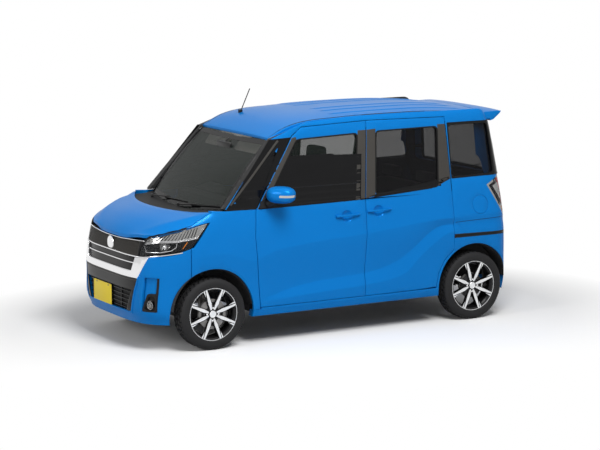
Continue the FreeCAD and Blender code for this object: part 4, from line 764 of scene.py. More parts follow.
def edges_of(points, width):
    """The two sides of a band of a width along a drawn line"""
    sides = ([], [])
    for i, here in enumerate(points):
        before = Vector(points[max(i - 1, 0)])
        after = Vector(points[min(i + 1, len(points) - 1)])
        along = (after - before).normalized()
        across = Vector((-along.y, along.x)) * width / 2
        sides[0].append(tuple(Vector(here) + across))
        sides[1].append(tuple(Vector(here) - across))
    return sides


def strip(points, width):
    """Outline of a band of a width along a drawn line"""
    first, second = edges_of(points, width)
    return first + second[::-1]


def ribbon(way, points, width, lift, thickness, step=0.03):
    """Narrow band along a drawn line laid on the body"""
    first, second = edges_of(points, width)
    return trim_ring(way, first, second, lift, thickness, step, closed=False)


# CAD nodes
CAD_LOOKS = {
    "BodyPaint": ["body_side_left", "body_side_right", "roof_panel", "front_fender_left",
                  "front_fender_right", "front_bumper", "rear_bumper", "hood", "front_door_left",
                  "front_door_right", "sliding_door_left", "sliding_door_right", "tailgate",
                  "spoiler", "fuel_flap", "mirror_left", "mirror_right"],
    "Underbody": ["floor_pan", "front_subframe", "rear_axle", "fuel_tank"],
    "CastIron": ["engine", "knuckle_left", "knuckle_right"],
    "ClearGlass": ["windscreen", "front_glass_left", "front_glass_right"],
    "PrivacyGlass": ["side_glass_left", "side_glass_right", "tailgate_glass"],
    "LampLens": ["headlamp_left", "headlamp_right", "tail_lamp_left", "tail_lamp_right"],
    "Chrome": ["grille"], "MouldedBlack": ["intake_grille", "cowl", "antenna", "steering_column"],
    "DashPlastic": ["dashboard", "steering_wheel"], "SeatCloth": ["front_seats", "rear_seat"],
    "TyreRubber": ["tyre_front_left", "tyre_front_right", "tyre_rear_left", "tyre_rear_right"],
    "SpokeBlack": ["rim_front_left", "rim_front_right", "rim_rear_left", "rim_rear_right"]}
PLAIN_EDGES = {"ClearGlass", "PrivacyGlass", "LampLens", "Underbody", "CastIron"}
WELD_DISTANCE = 0.00005
WINDOWS_FROM, WINDOWS_TO = 1.075, 1.632
FACING_INSIDE = -0.2


def line_inside(node, direction):
    """Give a body panel a dark lining inside and dark frames round its windows"""
    for look in ("CabinPanel", "GlossBlack"):
        node.data.materials.append(LOOKS[look])
    lining, frame_edge = 1, 2
    for face in node.data.polygons:
        if face.normal.dot(direction) < FACING_INSIDE:
            face.material_index = lining
        elif (direction.y and abs(face.normal.y) < 0.5
              and WINDOWS_FROM < face.center.z < WINDOWS_TO):
            face.material_index = frame_edge


class CAR_OT_panels(bpy.types.Operator):
    """Finish the solids that stay as they are"""

    bl_idname = "car.panels"
    bl_label = "Panels"

    def execute(self, context):
        sizes = context.scene.car_sizes
        for look, names in CAD_LOOKS.items():
            for name in names:
                node = NODES[name]
                node.data.materials.clear()
                node.data.materials.append(LOOKS[look])
                weld = node.modifiers.new("Weld", "WELD")
                weld.merge_threshold = WELD_DISTANCE
                soften(node, 0 if look in PLAIN_EDGES else sizes.edge_round, 32)
        for hand, sign in HANDS.items():
            for name in ("body_side_", "front_door_", "sliding_door_"):
                line_inside(NODES[name + hand], Vector((0, sign, 0)))
        line_inside(NODES["tailgate"], Vector((-1, 0, 0)))
        line_inside(NODES["roof_panel"], Vector((0, 0, 1)))
        return {"FINISHED"}


# Wheels
TYRE_SIDE = [(0.066, 0.1985), (0.0705, 0.2085), (0.0745, 0.2105), (0.0775, 0.2120),
             (0.0800, 0.2175), (0.0808, 0.2215), (0.0802, 0.2225), (0.0815, 0.2300),
             (0.0822, 0.2400), (0.0814, 0.2480), (0.0806, 0.2488), (0.0800, 0.2530),
             (0.0770, 0.2620), (0.0725, 0.2692), (0.0670, 0.2738), (0.0640, 0.2762)]
RIBS = [(0.0620, 0.0360), (0.0300, 0.0060)]
TREAD_PITCH = 3.0
CUT_DEPTH = 0.7
CUT_NARROWING = 0.55
AXLE_PLACES = [(end, hand) for end in AXLES for hand in HANDS]


def wheel_middle(end, hand):
    """Middle of a wheel"""
    return Vector((AXLES[end], HANDS[hand] * HALF_TRACKS[end], WHEEL_HEIGHT))


def tyre_profile(groove):
    """Section of the tyre from one bead over the tread to the other"""
    half = list(TYRE_SIDE)
    for outer, inner in RIBS:
        crown = 0.2795 if outer > 0.05 else 0.2808
        half += [(outer, crown - 0.0012), (outer - 0.003, crown), (inner + 0.001, crown + 0.0004),
                 (inner, crown - groove), (inner - 0.006, crown - groove)]
    other = [(-a, r) for a, r in reversed(half)]
    return half + other + [(-0.060, 0.190), (0.060, 0.190), half[0]]


class CAR_OT_tyres(bpy.types.Operator):
    """Make the tyres with their grooves, shoulder blocks and ribbed side walls"""

    bl_idname = "car.tyres"
    bl_label = "Tyres"

    def execute(self, context):
        groove = context.scene.car_sizes.tread_groove
        for end, hand in AXLE_PLACES:
            shape = lathe(tyre_profile(groove), 120)
            cuts = []
            for face in shape.faces:
                spot = face.calc_center_median()
                radius = math.hypot(spot.x, spot.z)
                number = int(round(math.degrees(math.atan2(spot.z, spot.x)) / TREAD_PITCH - 0.5))
                shoulder = 0.036 < abs(spot.y) < 0.062 and radius > 0.2785
                middle = 0.006 < abs(spot.y) < 0.030 and radius > 0.2795
                if (shoulder and number % 3 == 0) or (middle and number % 3 == 1):
                    cuts.append(face)
            for face in bmesh.ops.extrude_discrete_faces(shape, faces=cuts)["faces"]:
                middle = face.calc_center_median()
                inwards = Vector((-middle.x, 0, -middle.z)).normalized() * (groove * CUT_DEPTH)
                for corner in face.verts:
                    side = (corner.co - middle) * -CUT_NARROWING
                    side.y = 0
                    corner.co += side + inwards
            bmesh.ops.recalc_face_normals(shape, faces=shape.faces)
            bmesh.ops.translate(shape, vec=wheel_middle(end, hand), verts=shape.verts)
            piece = piece_from(shape, "tyre_tread_%s_%s" % (end, hand),
                               "wheel_%s_%s" % (end, hand), "TyreRubber", slot="tyre", limit=28)
            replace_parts(piece, "tyre_%s_%s" % (end, hand))
        return {"FINISHED"}


def turned(points, degrees):
    """Drawn points turned about the origin"""
    angle = math.radians(degrees)
    return [(a * math.cos(angle) - b * math.sin(angle), a * math.sin(angle) + b * math.cos(angle))
            for a, b in points]


def dished(shape, hub, crown, edge):
    """Lean a flat wheel face so that it stands out most a little way from the hub"""
    for corner in shape.verts:
        radius = math.hypot(corner.co.x, corner.co.z)
        corner.co.y += curve(radius, ((0.03, hub), (0.10, crown), (0.205, edge)))


SPOKE = [(0.026, 0.0045), (0.060, 0.0095), (0.088, 0.0135), (0.120, 0.0118), (0.165, 0.0088),
         (0.2035, 0.0070)]
SPOKE_BACK = [(0.026, 0.0090), (0.060, 0.0150), (0.088, 0.0185), (0.120, 0.0170), (0.165, 0.0140),
              (0.2035, 0.0150)]
FIN = [(0.150, 0.0175), (0.2035, 0.0130), (0.2035, 0.0250), (0.190, 0.0245)]


class CAR_OT_rims(bpy.types.Operator):
    """Make the rims: barrel, paired machined spokes, hub, cap and nuts"""

    bl_idname = "car.rims"
    bl_label = "Rims"

    def execute(self, context):
        pairs = context.scene.car_sizes.spoke_pairs
        for end, hand in AXLE_PLACES:
            outward = HANDS[hand]
            barrel = lathe([(-0.070, 0.2000), (-0.072, 0.2065), (-0.068, 0.2070), (-0.064, 0.192),
                            (-0.020, 0.1800), (0.030, 0.1800), (0.052, 0.1900), (0.0640, 0.2035),
                            (0.0665, 0.2072), (0.0690, 0.2072), (0.0690, 0.2035), (0.0600, 0.1960),
                            (0.050, 0.1840), (0.030, 0.1740), (-0.020, 0.1740), (-0.062, 0.186),
                            (-0.070, 0.2000)], 96)
            ring = lathe([(0.0660, 0.2022), (0.0696, 0.2030), (0.0700, 0.2062), (0.0690, 0.2078),
                          (0.0655, 0.2060), (0.0660, 0.2022)], 96)
            hub = lathe([(0.026, 0.0), (0.026, 0.060), (0.040, 0.066), (0.0500, 0.064),
                         (0.0530, 0.058), (0.0530, 0.038), (0.0565, 0.034), (0.0565, 0.0)], 48)
            faces, backs = bmesh.new(), bmesh.new()
            for number in range(pairs * 2):
                axis = 3 + (number // 2) * 360 / pairs
                lean = 20.5 if number % 2 else -20.5
                for outline, store, back, front in ((SPOKE, faces, 0.0005, 0.0030),
                                                    (SPOKE_BACK, backs, -0.030, 0.0002)):
                    points = outline + [(a, -b) for a, b in reversed(outline)]
                    piece = slab("side", turned(points, axis + lean), back, front)
                    divide(piece, "side", 0.02)
                    dished(piece, 0.0500, 0.0610, 0.0665)
                    join(store, piece)
                mirror = 1 if number % 2 else -1
                fin = slab("side", turned([(a, b * mirror) for a, b in FIN], axis + lean),
                           -0.004, 0.0020)
                dished(fin, 0.0500, 0.0600, 0.0660)
                join(faces, fin)
                fin = slab("side", turned([(a, b * mirror * 1.04) for a, b in FIN], axis + lean),
                           -0.024, -0.001)
                dished(fin, 0.0500, 0.0600, 0.0660)
                join(backs, fin)
            for number in range(pairs):
                web = [(0.040, 0.020), (0.078, 0.028), (0.094, 0.020), (0.094, -0.020),
                       (0.078, -0.028), (0.040, -0.020)]
                piece = slab("side", turned(web, 3 + number * 360 / pairs), -0.030, -0.012)
                dished(piece, 0.0500, 0.0600, 0.0660)
                join(backs, piece)
            nuts = bmesh.new()
            for number in range(4):
                x, z = turned([(0.050, 0)], 3 + number * 90)[0]
                nut = bmesh.new()
                bmesh.ops.create_cone(nut, cap_ends=True, segments=6, radius1=0.0095,
                                      radius2=0.0080, depth=0.016)
                join(nuts, placed(nut, -90, "X", (x, 0.0500, z)))
            cap = lathe([(0.050, 0.0), (0.050, 0.0285), (0.0595, 0.0285), (0.0612, 0.0270),
                         (0.0612, 0.0225), (0.0600, 0.0215), (0.0604, 0.0120), (0.0608, 0.0)], 48)
            valve = bar((0.178, 0.045, 0.02), (0.170, 0.066, 0.019), 0.0035, 10)
            made = []
            for name, shape, look in (("rim_barrel", barrel, "SpokeBlack"),
                                      ("rim_ring", ring, "SpokeFace"),
                                      ("rim_hub", hub, "SpokeBlack"),
                                      ("spoke_faces", faces, "SpokeFace"),
                                      ("spoke_backs", backs, "SpokeBlack"),
                                      ("wheel_nuts", nuts, "Chrome"),
                                      ("hub_cap", cap, "SpokeFace"),
                                      ("valve_stem", valve, "Rubber")):
                if outward < 0:
                    bmesh.ops.rotate(shape, matrix=Matrix.Rotation(math.pi, 3, "Z"),
                                     verts=shape.verts)
                bmesh.ops.translate(shape, vec=wheel_middle(end, hand), verts=shape.verts)
                width = 0.0007 if name in ("spoke_faces", "spoke_backs") else 0
                made.append(piece_from(shape, "%s_%s_%s" % (name, end, hand),
                                       "wheel_%s_%s" % (end, hand), look, slot="rim", width=width))
            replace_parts(made[0], "rim_%s_%s" % (end, hand))
        return {"FINISHED"}


class CAR_OT_brakes(bpy.types.Operator):
    """Make the brake discs, calipers and rear drums that show through the wheels"""

    bl_idname = "car.brakes"
    bl_label = "Brakes"

    def execute(self, context):
        for hand, sign in HANDS.items():
            middle = wheel_middle("front", hand)
            disc = lathe([(0.020, 0.055), (0.020, 0.117), (0.0265, 0.117), (0.0270, 0.114),
                          (0.0270, 0.076), (0.0330, 0.072), (0.0440, 0.070), (0.0440, 0.030),
                          (0.0400, 0.028), (0.030, 0.055), (0.020, 0.055)], 72)
            caliper = slab("side", rounded([(-0.128, 0.052), (-0.080, 0.060), (-0.062, 0.0),
                                            (-0.080, -0.060), (-0.128, -0.052), (-0.140, 0)],
                                           0.014), 0.0, 0.040)
            drum = lathe([(0.010, 0.0), (0.010, 0.104), (0.020, 0.106), (0.024, 0.106),
                          (0.024, 0.101), (0.038, 0.100), (0.042, 0.096), (0.042, 0.060),
                          (0.0444, 0.056), (0.0444, 0.0)], 72)
            for shape, name, body, look, place in (
                    (disc, "brake_disc_", "knuckle_" + hand, "CastIron", middle),
                    (caliper, "brake_caliper_", "knuckle_" + hand, "DarkMetal", middle),
                    (drum, "brake_drum_", "shell", "CastIron", wheel_middle("rear", hand))):
                if sign < 0:
                    mirror_over(shape)
                bmesh.ops.translate(shape, vec=place, verts=shape.verts)
                piece_from(shape, name + hand, body, look, slot="iron",
                           width=0.003 if name.startswith("brake_caliper") else 0.0004)
        return {"FINISHED"}


# Front face
PLATE = {"middle": (-0.095, 0.383), "wide": 0.330, "tall": 0.165, "face": 1.6955}


def both_ways(points):
    """Outline closed over the centreline from its left half"""
    return list(points) + [(-y, z) for y, z in reversed(points)]


def front_pair(points, lift, thickness):
    """The same outline on both halves of the nose, as one shape"""
    return join(*(trim("front", [(hand * y, z) for y, z in points], lift, thickness)
                  for hand in (1, -1)))


def cross_bar(half, z, tall, lift, thickness):
    """Bar across the nose at one height"""
    return trim("front", rectangle((-half, z), (half, z + tall)), lift, thickness)


BROW = ((0.0, 0.8475), (0.10, 0.8480), (0.20, 0.8515), (0.30, 0.8580), (0.40, 0.8620),
        (0.484, 0.8640))


class CAR_OT_grille(bpy.types.Operator):
    """Make the grille: mesh band, slats, two chrome bars, the U-shaped surround, plain disc"""

    bl_idname = "car.grille"
    bl_label = "Grille"

    def execute(self, context):
        back = trim("front", both_ways([(0.425, 0.858), (0.512, 0.742), (0.430, 0.585)]),
                    -0.024, 0.006)
        made = piece_from(back, "grille_back", "shell", "MouldedBlack")
        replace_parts(made, "grille")
        outer = both_ways([(0.550, 0.741), (0.517, 0.675), (0.487, 0.612), (0.470, 0.575)])
        inner = both_ways([(0.428, 0.733), (0.416, 0.690), (0.402, 0.645), (0.396, 0.628)])
        surround = trim_ring("front", outer, inner, 0.007, 0.032, 0.04, closed=False)
        piece_from(surround, "grille_surround", "shell", "Chrome", width=0.004, limit=50)
        bars = join(cross_bar(0.446, 0.7350, 0.0085, 0.002, 0.012),
                    cross_bar(0.408, 0.6840, 0.0080, 0.000, 0.012))
        piece_from(bars, "grille_bars", "shell", "Chrome", width=0.002, limit=50)
        fins = front_pair([(0.425, 0.735), (0.515, 0.735), (0.462, 0.590), (0.390, 0.590)],
                          -0.012, 0.012)
        join(fins, trim("front", both_ways([(0.44, 0.735), (0.40, 0.60)]), -0.014, 0.004))
        piece_from(fins, "grille_fins", "shell", "GlossBlack", width=0.001)
        mesh_band = bmesh.new()
        for k in range(-31, 32):
            y = k * 0.0145
            low, top = 0.7435, curve(abs(y), BROW) - 0.002
            join(mesh_band, trim("front", rectangle((y - 0.0030, low), (y + 0.0030, top)),
                                 -0.003, 0.008, 0.2))
        for z in (0.762, 0.781, 0.800, 0.819, 0.838):
            join(mesh_band, cross_bar(0.445, z, 0.0030, -0.007, 0.006))
        piece_from(mesh_band, "grille_mesh", "shell", "PillarSatin")
        ends = front_pair([(0.441, 0.8600), (0.484, 0.8600), (0.452, 0.7435), (0.441, 0.7435)],
                          -0.002, 0.012)
        piece_from(ends, "grille_ends", "shell", "GlossBlack", width=0.001)
        line = [(y, z) for y, z in reversed(BROW)]
        brow = ribbon("front", line + [(-y, z) for y, z in line[-2::-1]], 0.0048, 0.004, 0.016)
        piece_from(brow, "hood_edge_strip", "shell", "Chrome", width=0.0015, limit=50)
        disc = lathe([(0.0, 0.0), (0.0, 0.054), (0.004, 0.054), (0.0070, 0.0510), (0.0080, 0.044),
                      (0.0095, 0.022), (0.0100, 0.0)], 64)
        placed(disc, -90, "Z", (nose_depth(0, 0.790) - 0.004, 0, 0.790))
        piece_from(disc, "plain_disc", "shell", "Chrome")
        return {"FINISHED"}


class CAR_OT_intake(bpy.types.Operator):
    """Make the dark panel under the grille, the lower intake's slats and the blank plate"""

    bl_idname = "car.intake"
    bl_label = "Lower intake and plate"

    def execute(self, context):
        panel = trim("front", both_ways([(0.470, 0.578), (0.436, 0.478)]), 0.0022, 0.005)
        piece_from(panel, "lower_panel", "shell", "SatinBlack", width=0.001)
        cheeks = front_pair([(0.404, 0.479), (0.438, 0.479), (0.393, 0.310), (0.326, 0.298)],
                            0.0015, 0.006)
        piece_from(cheeks, "intake_cheeks", "shell", "GlossBlack", width=0.001)
        ridge = trim("front", both_ways([(0.463, 0.562), (0.460, 0.555)]), 0.0060, 0.005)
        piece_from(ridge, "panel_ridge", "shell", "PillarSatin", width=0.001)
        slats = bmesh.new()
        for k in range(5):
            z = 0.318 + k * 0.0335
            half = 0.332 + (z - 0.302) / 0.175 * 0.078
            join(slats, cross_bar(half, z, 0.0065, -0.0135, 0.016))
        for y in (-0.30, 0.22):
            join(slats, trim("front", rectangle((y, 0.304), (y + 0.008, 0.476)), -0.014, 0.010))
        piece_from(slats, "intake_slats", "shell", "GlossBlack", width=0.0015)
        edge = [(0.482, 0.578), (0.447, 0.478), (0.402, 0.290)]
        inside = [(0.470, 0.578), (0.436, 0.478), (0.391, 0.303)]
        lip = trim_ring("front", both_ways(edge), both_ways(inside), 0.0055, 0.016, closed=False)
        piece_from(lip, "intake_lip", "shell", "BodyPaint", width=0.004, limit=50)
        back = slab("front", rounded(rectangle((-0.215, 0.326), (0.065, 0.450)), 0.006),
                    1.6860, PLATE["face"])
        piece_from(back, "plate_holder", "shell", "MouldedBlack", width=0.001)
        y, z = PLATE["middle"]
        half, tall, face = PLATE["wide"] / 2, PLATE["tall"] / 2, PLATE["face"]
        outline = rounded(rectangle((y - half, z - tall), (y + half, z + tall)), 0.010)
        plate = slab("front", outline, face, face + 0.0012)
        rim_in = rounded(rectangle((y - half + 0.006, z - tall + 0.006),
                                   (y + half - 0.006, z + tall - 0.006)), 0.007)
        rim = bmesh.new()
        loops = []
        for points in (outline, rim_in):
            corners = [rim.verts.new((face + 0.0012, a, b)) for a, b in points]
            loops += [rim.edges.new((corners[i - 1], corners[i])) for i in range(len(corners))]
        bmesh.ops.bridge_loops(rim, edges=loops)
        thicken(rim, rim.faces[:], (0.0012, 0, 0))
        bmesh.ops.recalc_face_normals(rim, faces=rim.faces)
        piece_from(join(plate, rim), "front_plate", "shell", "PlateEnamel", width=0.0004)
        bolts = bmesh.new()
        for place in (y - 0.105, y + 0.105):
            join(bolts, bar((face + 0.0005, place, z + tall - 0.014),
                            (face + 0.0048, place, z + tall - 0.014), 0.0065, 20, 0.0048))
        piece_from(bolts, "plate_bolts", "shell", "CastIron", width=0.0008)
        return {"FINISHED"}


class CAR_OT_fog_lamps(bpy.types.Operator):
    """Make the fog lamps in their recesses"""

    bl_idname = "car.fog_lamps"
    bl_label = "Fog lamps"

    def execute(self, context):
        hole = [(0.462, 0.592), (0.632, 0.592), (0.622, 0.312), (0.492, 0.312)]
        twin_pieces(lambda: trim("front", hole, -0.0268, 0.003), "fog_recess", "shell",
                    "BodyPaint")
        filler = [(0.466, 0.589), (0.526, 0.589), (0.512, 0.448), (0.508, 0.317), (0.496, 0.317)]
        twin_pieces(lambda: trim("front", filler, 0.0004, 0.020), "fog_filler", "shell",
                    "BodyPaint", width=0.003, limit=50)
        slot = [(0.608, 0.586), (0.624, 0.586), (0.615, 0.445), (0.602, 0.445)]
        twin_pieces(lambda: trim("front", slot, -0.012, 0.0145), "fog_slot", "shell",
                    "MouldedBlack", width=0.001)
        housing = [(0.556, 0.463), (0.612, 0.463), (0.6145, 0.320), (0.509, 0.320)]
        mouth = [(0.564, 0.444), (0.603, 0.442), (0.607, 0.333), (0.524, 0.332)]
        twin_pieces(lambda: trim_ring("front", rounded(housing, 0.012), rounded(mouth, 0.016),
                                      -0.001, 0.024),
                    "fog_housing", "shell", "MouldedBlack", width=0.002)
        twin_pieces(lambda: trim("front", drawn_in(housing, 0.002), -0.022, 0.004), "fog_back",
                    "shell", "GlossBlack")

        def bowl(profile):
            return placed(lathe(profile, 40), -74, "Z",
                          (nose_depth(0.566, 0.375) - 0.022, 0.568, 0.375))

        twin_pieces(lambda: bowl([(0.0, 0.0), (0.0, 0.030), (0.012, 0.0335), (0.014, 0.0335),
                                  (0.014, 0.031), (0.006, 0.024), (0.003, 0.010), (0.002, 0.0)]),
                    "fog_bowl", "shell", "LampSilver")
        twin_pieces(lambda: bowl([(0.0105, 0.0), (0.0100, 0.031), (0.0125, 0.031), (0.0150, 0.020),
                                  (0.0165, 0.0)]), "fog_lens", "shell", "LampLens")
        return {"FINISHED"}


def corner_x(x, z):
    """Corner drawing point of a place along the side of the nose"""
    return math.atan2(side_depth(x, z), x - NOSE_START), z


def corner_y(y, z):
    """Corner drawing point of a place across the front of the nose"""
    return math.atan2(y, nose_depth(y, z) - NOSE_START), z


LAMP_TOP = [corner_y(0.486, 0.860), corner_x(1.586, 0.894), corner_x(1.476, 0.937),
            corner_x(1.330, 0.968), corner_x(1.198, 0.994), corner_x(1.158, 1.000)]
LAMP_SPLIT = [corner_y(0.492, 0.838), corner_x(1.545, 0.8600), corner_x(1.426, 0.8640),
              corner_x(1.326, 0.8780), corner_x(1.254, 0.8900)]
LAMP_FOOT = [corner_y(0.462, 0.7460), corner_y(0.512, 0.7500), corner_x(1.527, 0.7720),
             corner_x(1.432, 0.7880), corner_x(1.329, 0.8080), corner_x(1.250, 0.8870)]


class CAR_OT_headlamps(bpy.types.Operator):
    """Make the headlamps: clear lens, ribbed upper reflector, projector and bright outline"""

    bl_idname = "car.headlamps"
    bl_label = "Headlamps"

    def execute(self, context):
        outline = LAMP_TOP + LAMP_FOOT[::-1]
        lenses = twin_pieces(lambda: trim("corner", drawn_in(outline, 0.003), 0.0015, 0.003),
                             "headlamp_lens", "shell", "LampLens")
        for hand, lens in zip(HANDS, lenses):
            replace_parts(lens, "headlamp_" + hand)
        twin_pieces(lambda: trim_ring("corner", drawn_in(outline, -0.001),
                                      drawn_in(outline, 0.004), -0.0005, 0.050),
                    "headlamp_rim", "shell", "GlossBlack")
        twin_pieces(lambda: trim("corner", outline, -0.046, 0.004), "headlamp_back", "shell",
                    "GlossBlack")
        upper = LAMP_TOP + LAMP_SPLIT[::-1]
        twin_pieces(lambda: trim("corner", drawn_in(upper, 0.005), -0.022, 0.004),
                    "headlamp_reflector", "shell", "LampSilver")
        border = drawn_in(upper, 0.004)
        twin_pieces(lambda: trim_ring("corner", border, drawn_in(border, 0.007), -0.012, 0.012),
                    "headlamp_border", "shell", "Chrome", width=0.001)

        def ribs():
            shape = bmesh.new()
            for k in range(12):
                low = corner_x(1.560 - k * 0.024, 0.8720 + k * 0.0012)
                high = corner_x(1.520 - k * 0.024, 0.9060 + k * 0.0052)
                join(shape, ribbon("corner", [low, high], 0.0050, -0.014, 0.010))
            return shape

        twin_pieces(ribs, "headlamp_ribs", "shell", "DarkMetal", width=0.0008)
        twin_pieces(lambda: ribbon("corner", LAMP_SPLIT, 0.0055, -0.006, 0.018),
                    "headlamp_split", "shell", "Chrome", width=0.001)
        line = [corner_y(0.500, 0.828), corner_y(0.522, 0.781), corner_x(1.540, 0.7860),
                corner_x(1.470, 0.8000), corner_x(1.432, 0.8250), corner_x(1.425, 0.8560)]
        twin_pieces(lambda: ribbon("corner", line, 0.0060, -0.004, 0.012), "headlamp_line",
                    "shell", "Chrome", width=0.001)
        dark = [corner_x(1.412, 0.8560), corner_x(1.258, 0.8840), corner_x(1.330, 0.8130),
                corner_x(1.432, 0.7950)]
        twin_pieces(lambda: trim("corner", dark, -0.003, 0.004), "headlamp_tail", "shell",
                    "GlossBlack")
        flash = [corner_x(1.345, 0.8640), corner_x(1.385, 0.8120)]
        twin_pieces(lambda: ribbon("corner", flash, 0.006, -0.001, 0.004), "headlamp_flash",
                    "shell", "AmberLens", width=0.0006)

        def projector(profile):
            return placed(lathe(profile, 40), -72, "Z",
                          (1.488, side_depth(1.505, 0.822) - 0.034, 0.824))

        twin_pieces(lambda: projector([(-0.012, 0.0), (-0.012, 0.040), (0.018, 0.036),
                                       (0.021, 0.036), (0.021, 0.0315), (0.006, 0.029),
                                       (-0.004, 0.0)]), "projector_bezel", "shell", "LampSilver")
        twin_pieces(lambda: projector([(0.0, 0.0), (0.0, 0.028), (0.012, 0.0265), (0.020, 0.020),
                                       (0.025, 0.010), (0.0265, 0.0)]), "projector_lens", "shell",
                    "MirrorSilver")
        under = [corner_y(0.440, 0.7385), corner_y(0.512, 0.7425), corner_x(1.527, 0.7640),
                 corner_x(1.432, 0.7780), corner_x(1.384, 0.7850)]
        twin_pieces(lambda: ribbon("corner", under, 0.0060, 0.003, 0.008), "lamp_underline",
                    "shell", "Chrome", width=0.001)
        gasket = [(a, z + 0.004) for a, z in LAMP_TOP]
        twin_pieces(lambda: ribbon("corner", gasket, 0.008, -0.004, 0.012), "lamp_gasket",
                    "shell", "Rubber")
        return {"FINISHED"}


# Sides
FRONT_WINDOW = [(0.668, 1.082), (0.334, 1.588), (-0.232, 1.606), (-0.168, 1.088)]
REAR_WINDOW = [(-0.356, 1.108), (-0.402, 1.612), (-0.996, 1.618), (-0.962, 1.130)]
QUARTER_WINDOW = [(-1.096, 1.194), (-1.092, 1.626), (-1.490, 1.628), (-1.522, 1.200)]
QUARTER_LIGHT = [(0.936, 1.128), (0.500, 1.538), (0.632, 1.285), (0.706, 1.148)]
LEFT_SIDE = ("body_side_left", "sliding_door_left", "front_door_left", "front_fender_left",
             "front_bumper", "rear_bumper")
CORNER_COVER, CORNER_START = 0.008, -1.45
PILLAR_COVERS = (
    ("b_pillar_front", "front_door_", "PillarSatin",
     [(-0.164, 1.078), (-0.2545, 1.078), (-0.3112, 1.626), (-0.236, 1.626)]),
    ("b_pillar_rear", "shell", "PillarSatin",
     [(-0.2635, 1.084), (-0.3195, 1.626), (-0.404, 1.630), (-0.354, 1.100)]),
    ("c_pillar", "shell", "PillarSatin",
     [(-0.960, 1.138), (-0.998, 1.632), (-1.0702, 1.632), (-1.0835, 1.188)]),
    ("door_leg", "front_door_", "PillarSatin",
     [(0.730, 1.070), (0.372, 1.601), (0.336, 1.606), (0.332, 1.588), (0.668, 1.078)]),
    ("belt_front", "front_door_", "GlossBlack",
     [(0.716, 1.069), (0.716, 1.083), (-0.166, 1.092), (-0.253, 1.094), (-0.252, 1.078),
      (0.100, 1.074)]),
    ("belt_rear", "shell", "GlossBlack",
     [(-0.2645, 1.081), (-0.355, 1.095), (-0.900, 1.121), (-0.990, 1.136), (-1.070, 1.182),
      (-1.083, 1.190), (-1.083, 1.206), (-1.062, 1.198), (-0.985, 1.152), (-0.900, 1.136),
      (-0.355, 1.111), (-0.2655, 1.098)]))


class CAR_OT_pillars(bpy.types.Operator):
    """Make the dark pillar covers, window seals and belt mouldings of both sides"""

    bl_idname = "car.pillars"
    bl_label = "Pillar covers and seals"

    def execute(self, context):
        for name, body, look, outline in PILLAR_COVERS:
            twin_pieces(lambda: trim("side", outline, 0.0016, 0.005), name, body, look,
                        slot="black_trim", width=0.0008)
        twin_pieces(lambda: trim_ring("side", rounded([(-1.0945, 1.186), (-1.0905, 1.641),
                                                       (-1.537, 1.641), (-1.586, 1.193)], 0.006),
                                      rounded(QUARTER_WINDOW, 0.038), 0.0014, 0.006),
                    "quarter_frame", "shell", "GlossBlack", width=0.0006)
        twin_pieces(lambda: trim_ring("side", rounded([(1.010, 1.078), (0.580, 1.600),
                                                       (0.382, 1.606), (0.742, 1.072)], 0.004),
                                      rounded(QUARTER_LIGHT, 0.009), 0.0014, 0.006),
                    "corner_frame", "shell", "GlossBlack", width=0.0006)
        strip_line = [(0.965, 1.118), (0.760, 1.322), (0.545, 1.545), (0.500, 1.588)]
        twin_pieces(lambda: ribbon("side", strip_line, 0.016, 0.0045, 0.005), "corner_strip",
                    "shell", "PillarSatin", width=0.0012)
        for name, body, outline in (("front_seal", "front_door_", FRONT_WINDOW),
                                    ("rear_seal", "shell", REAR_WINDOW),
                                    ("quarter_seal", "shell", QUARTER_WINDOW)):
            twin_pieces(lambda: trim_ring("side", rounded(drawn_in(outline, -0.003), 0.038),
                                          rounded(drawn_in(outline, 0.008), 0.034), 0.0024, 0.012),
                        name, body, "Rubber", width=0.0008)
        return {"FINISHED"}


def handle(front, rear, low, high):
    """Grip bar standing off the door, thinner towards the rear, with its two feet"""
    middle = (front + rear) / 2
    shape = trim("side", [(front, low), (front, high), (rear, high - 0.002), (rear, low + 0.006)],
                 0.0, 0.015, 0.02)
    skin = skin_of("front_door_left", "sliding_door_left")
    for corner in shape.verts:
        away = abs(corner.co.x - middle) / (front - middle)
        flat = corner.co.y - side_depth(corner.co.x, corner.co.z)
        base = skin.ray_cast(Vector((corner.co.x, 2, high + 0.03)), Vector((0, -1, 0)))[0]
        corner.co.y = base.y + flat + 0.036 - 0.012 * away ** 3
    for place in (front - 0.016, rear + 0.014):
        base = skin.ray_cast(Vector((place, 2, high + 0.03)), Vector((0, -1, 0)))[0].y
        join(shape, block((place - 0.011, base - 0.004, low + 0.004),
                          (place + 0.011, base + 0.022, high - 0.004)))
    return shape


def tucked_floor():
    """The floor, its wheel housings drawn in under the body's rounded rear corners"""
    floor = bmesh.new()
    floor.from_mesh(NODES["floor_pan"].data)
    bmesh.ops.remove_doubles(floor, verts=floor.verts, dist=WELD_DISTANCE)
    for corner in floor.verts:
        limit = side_depth(corner.co.x, corner.co.z) - CORNER_COVER
        if corner.co.x < CORNER_START and abs(corner.co.y) > limit:
            corner.co.y = math.copysign(limit, corner.co.y)
    return floor


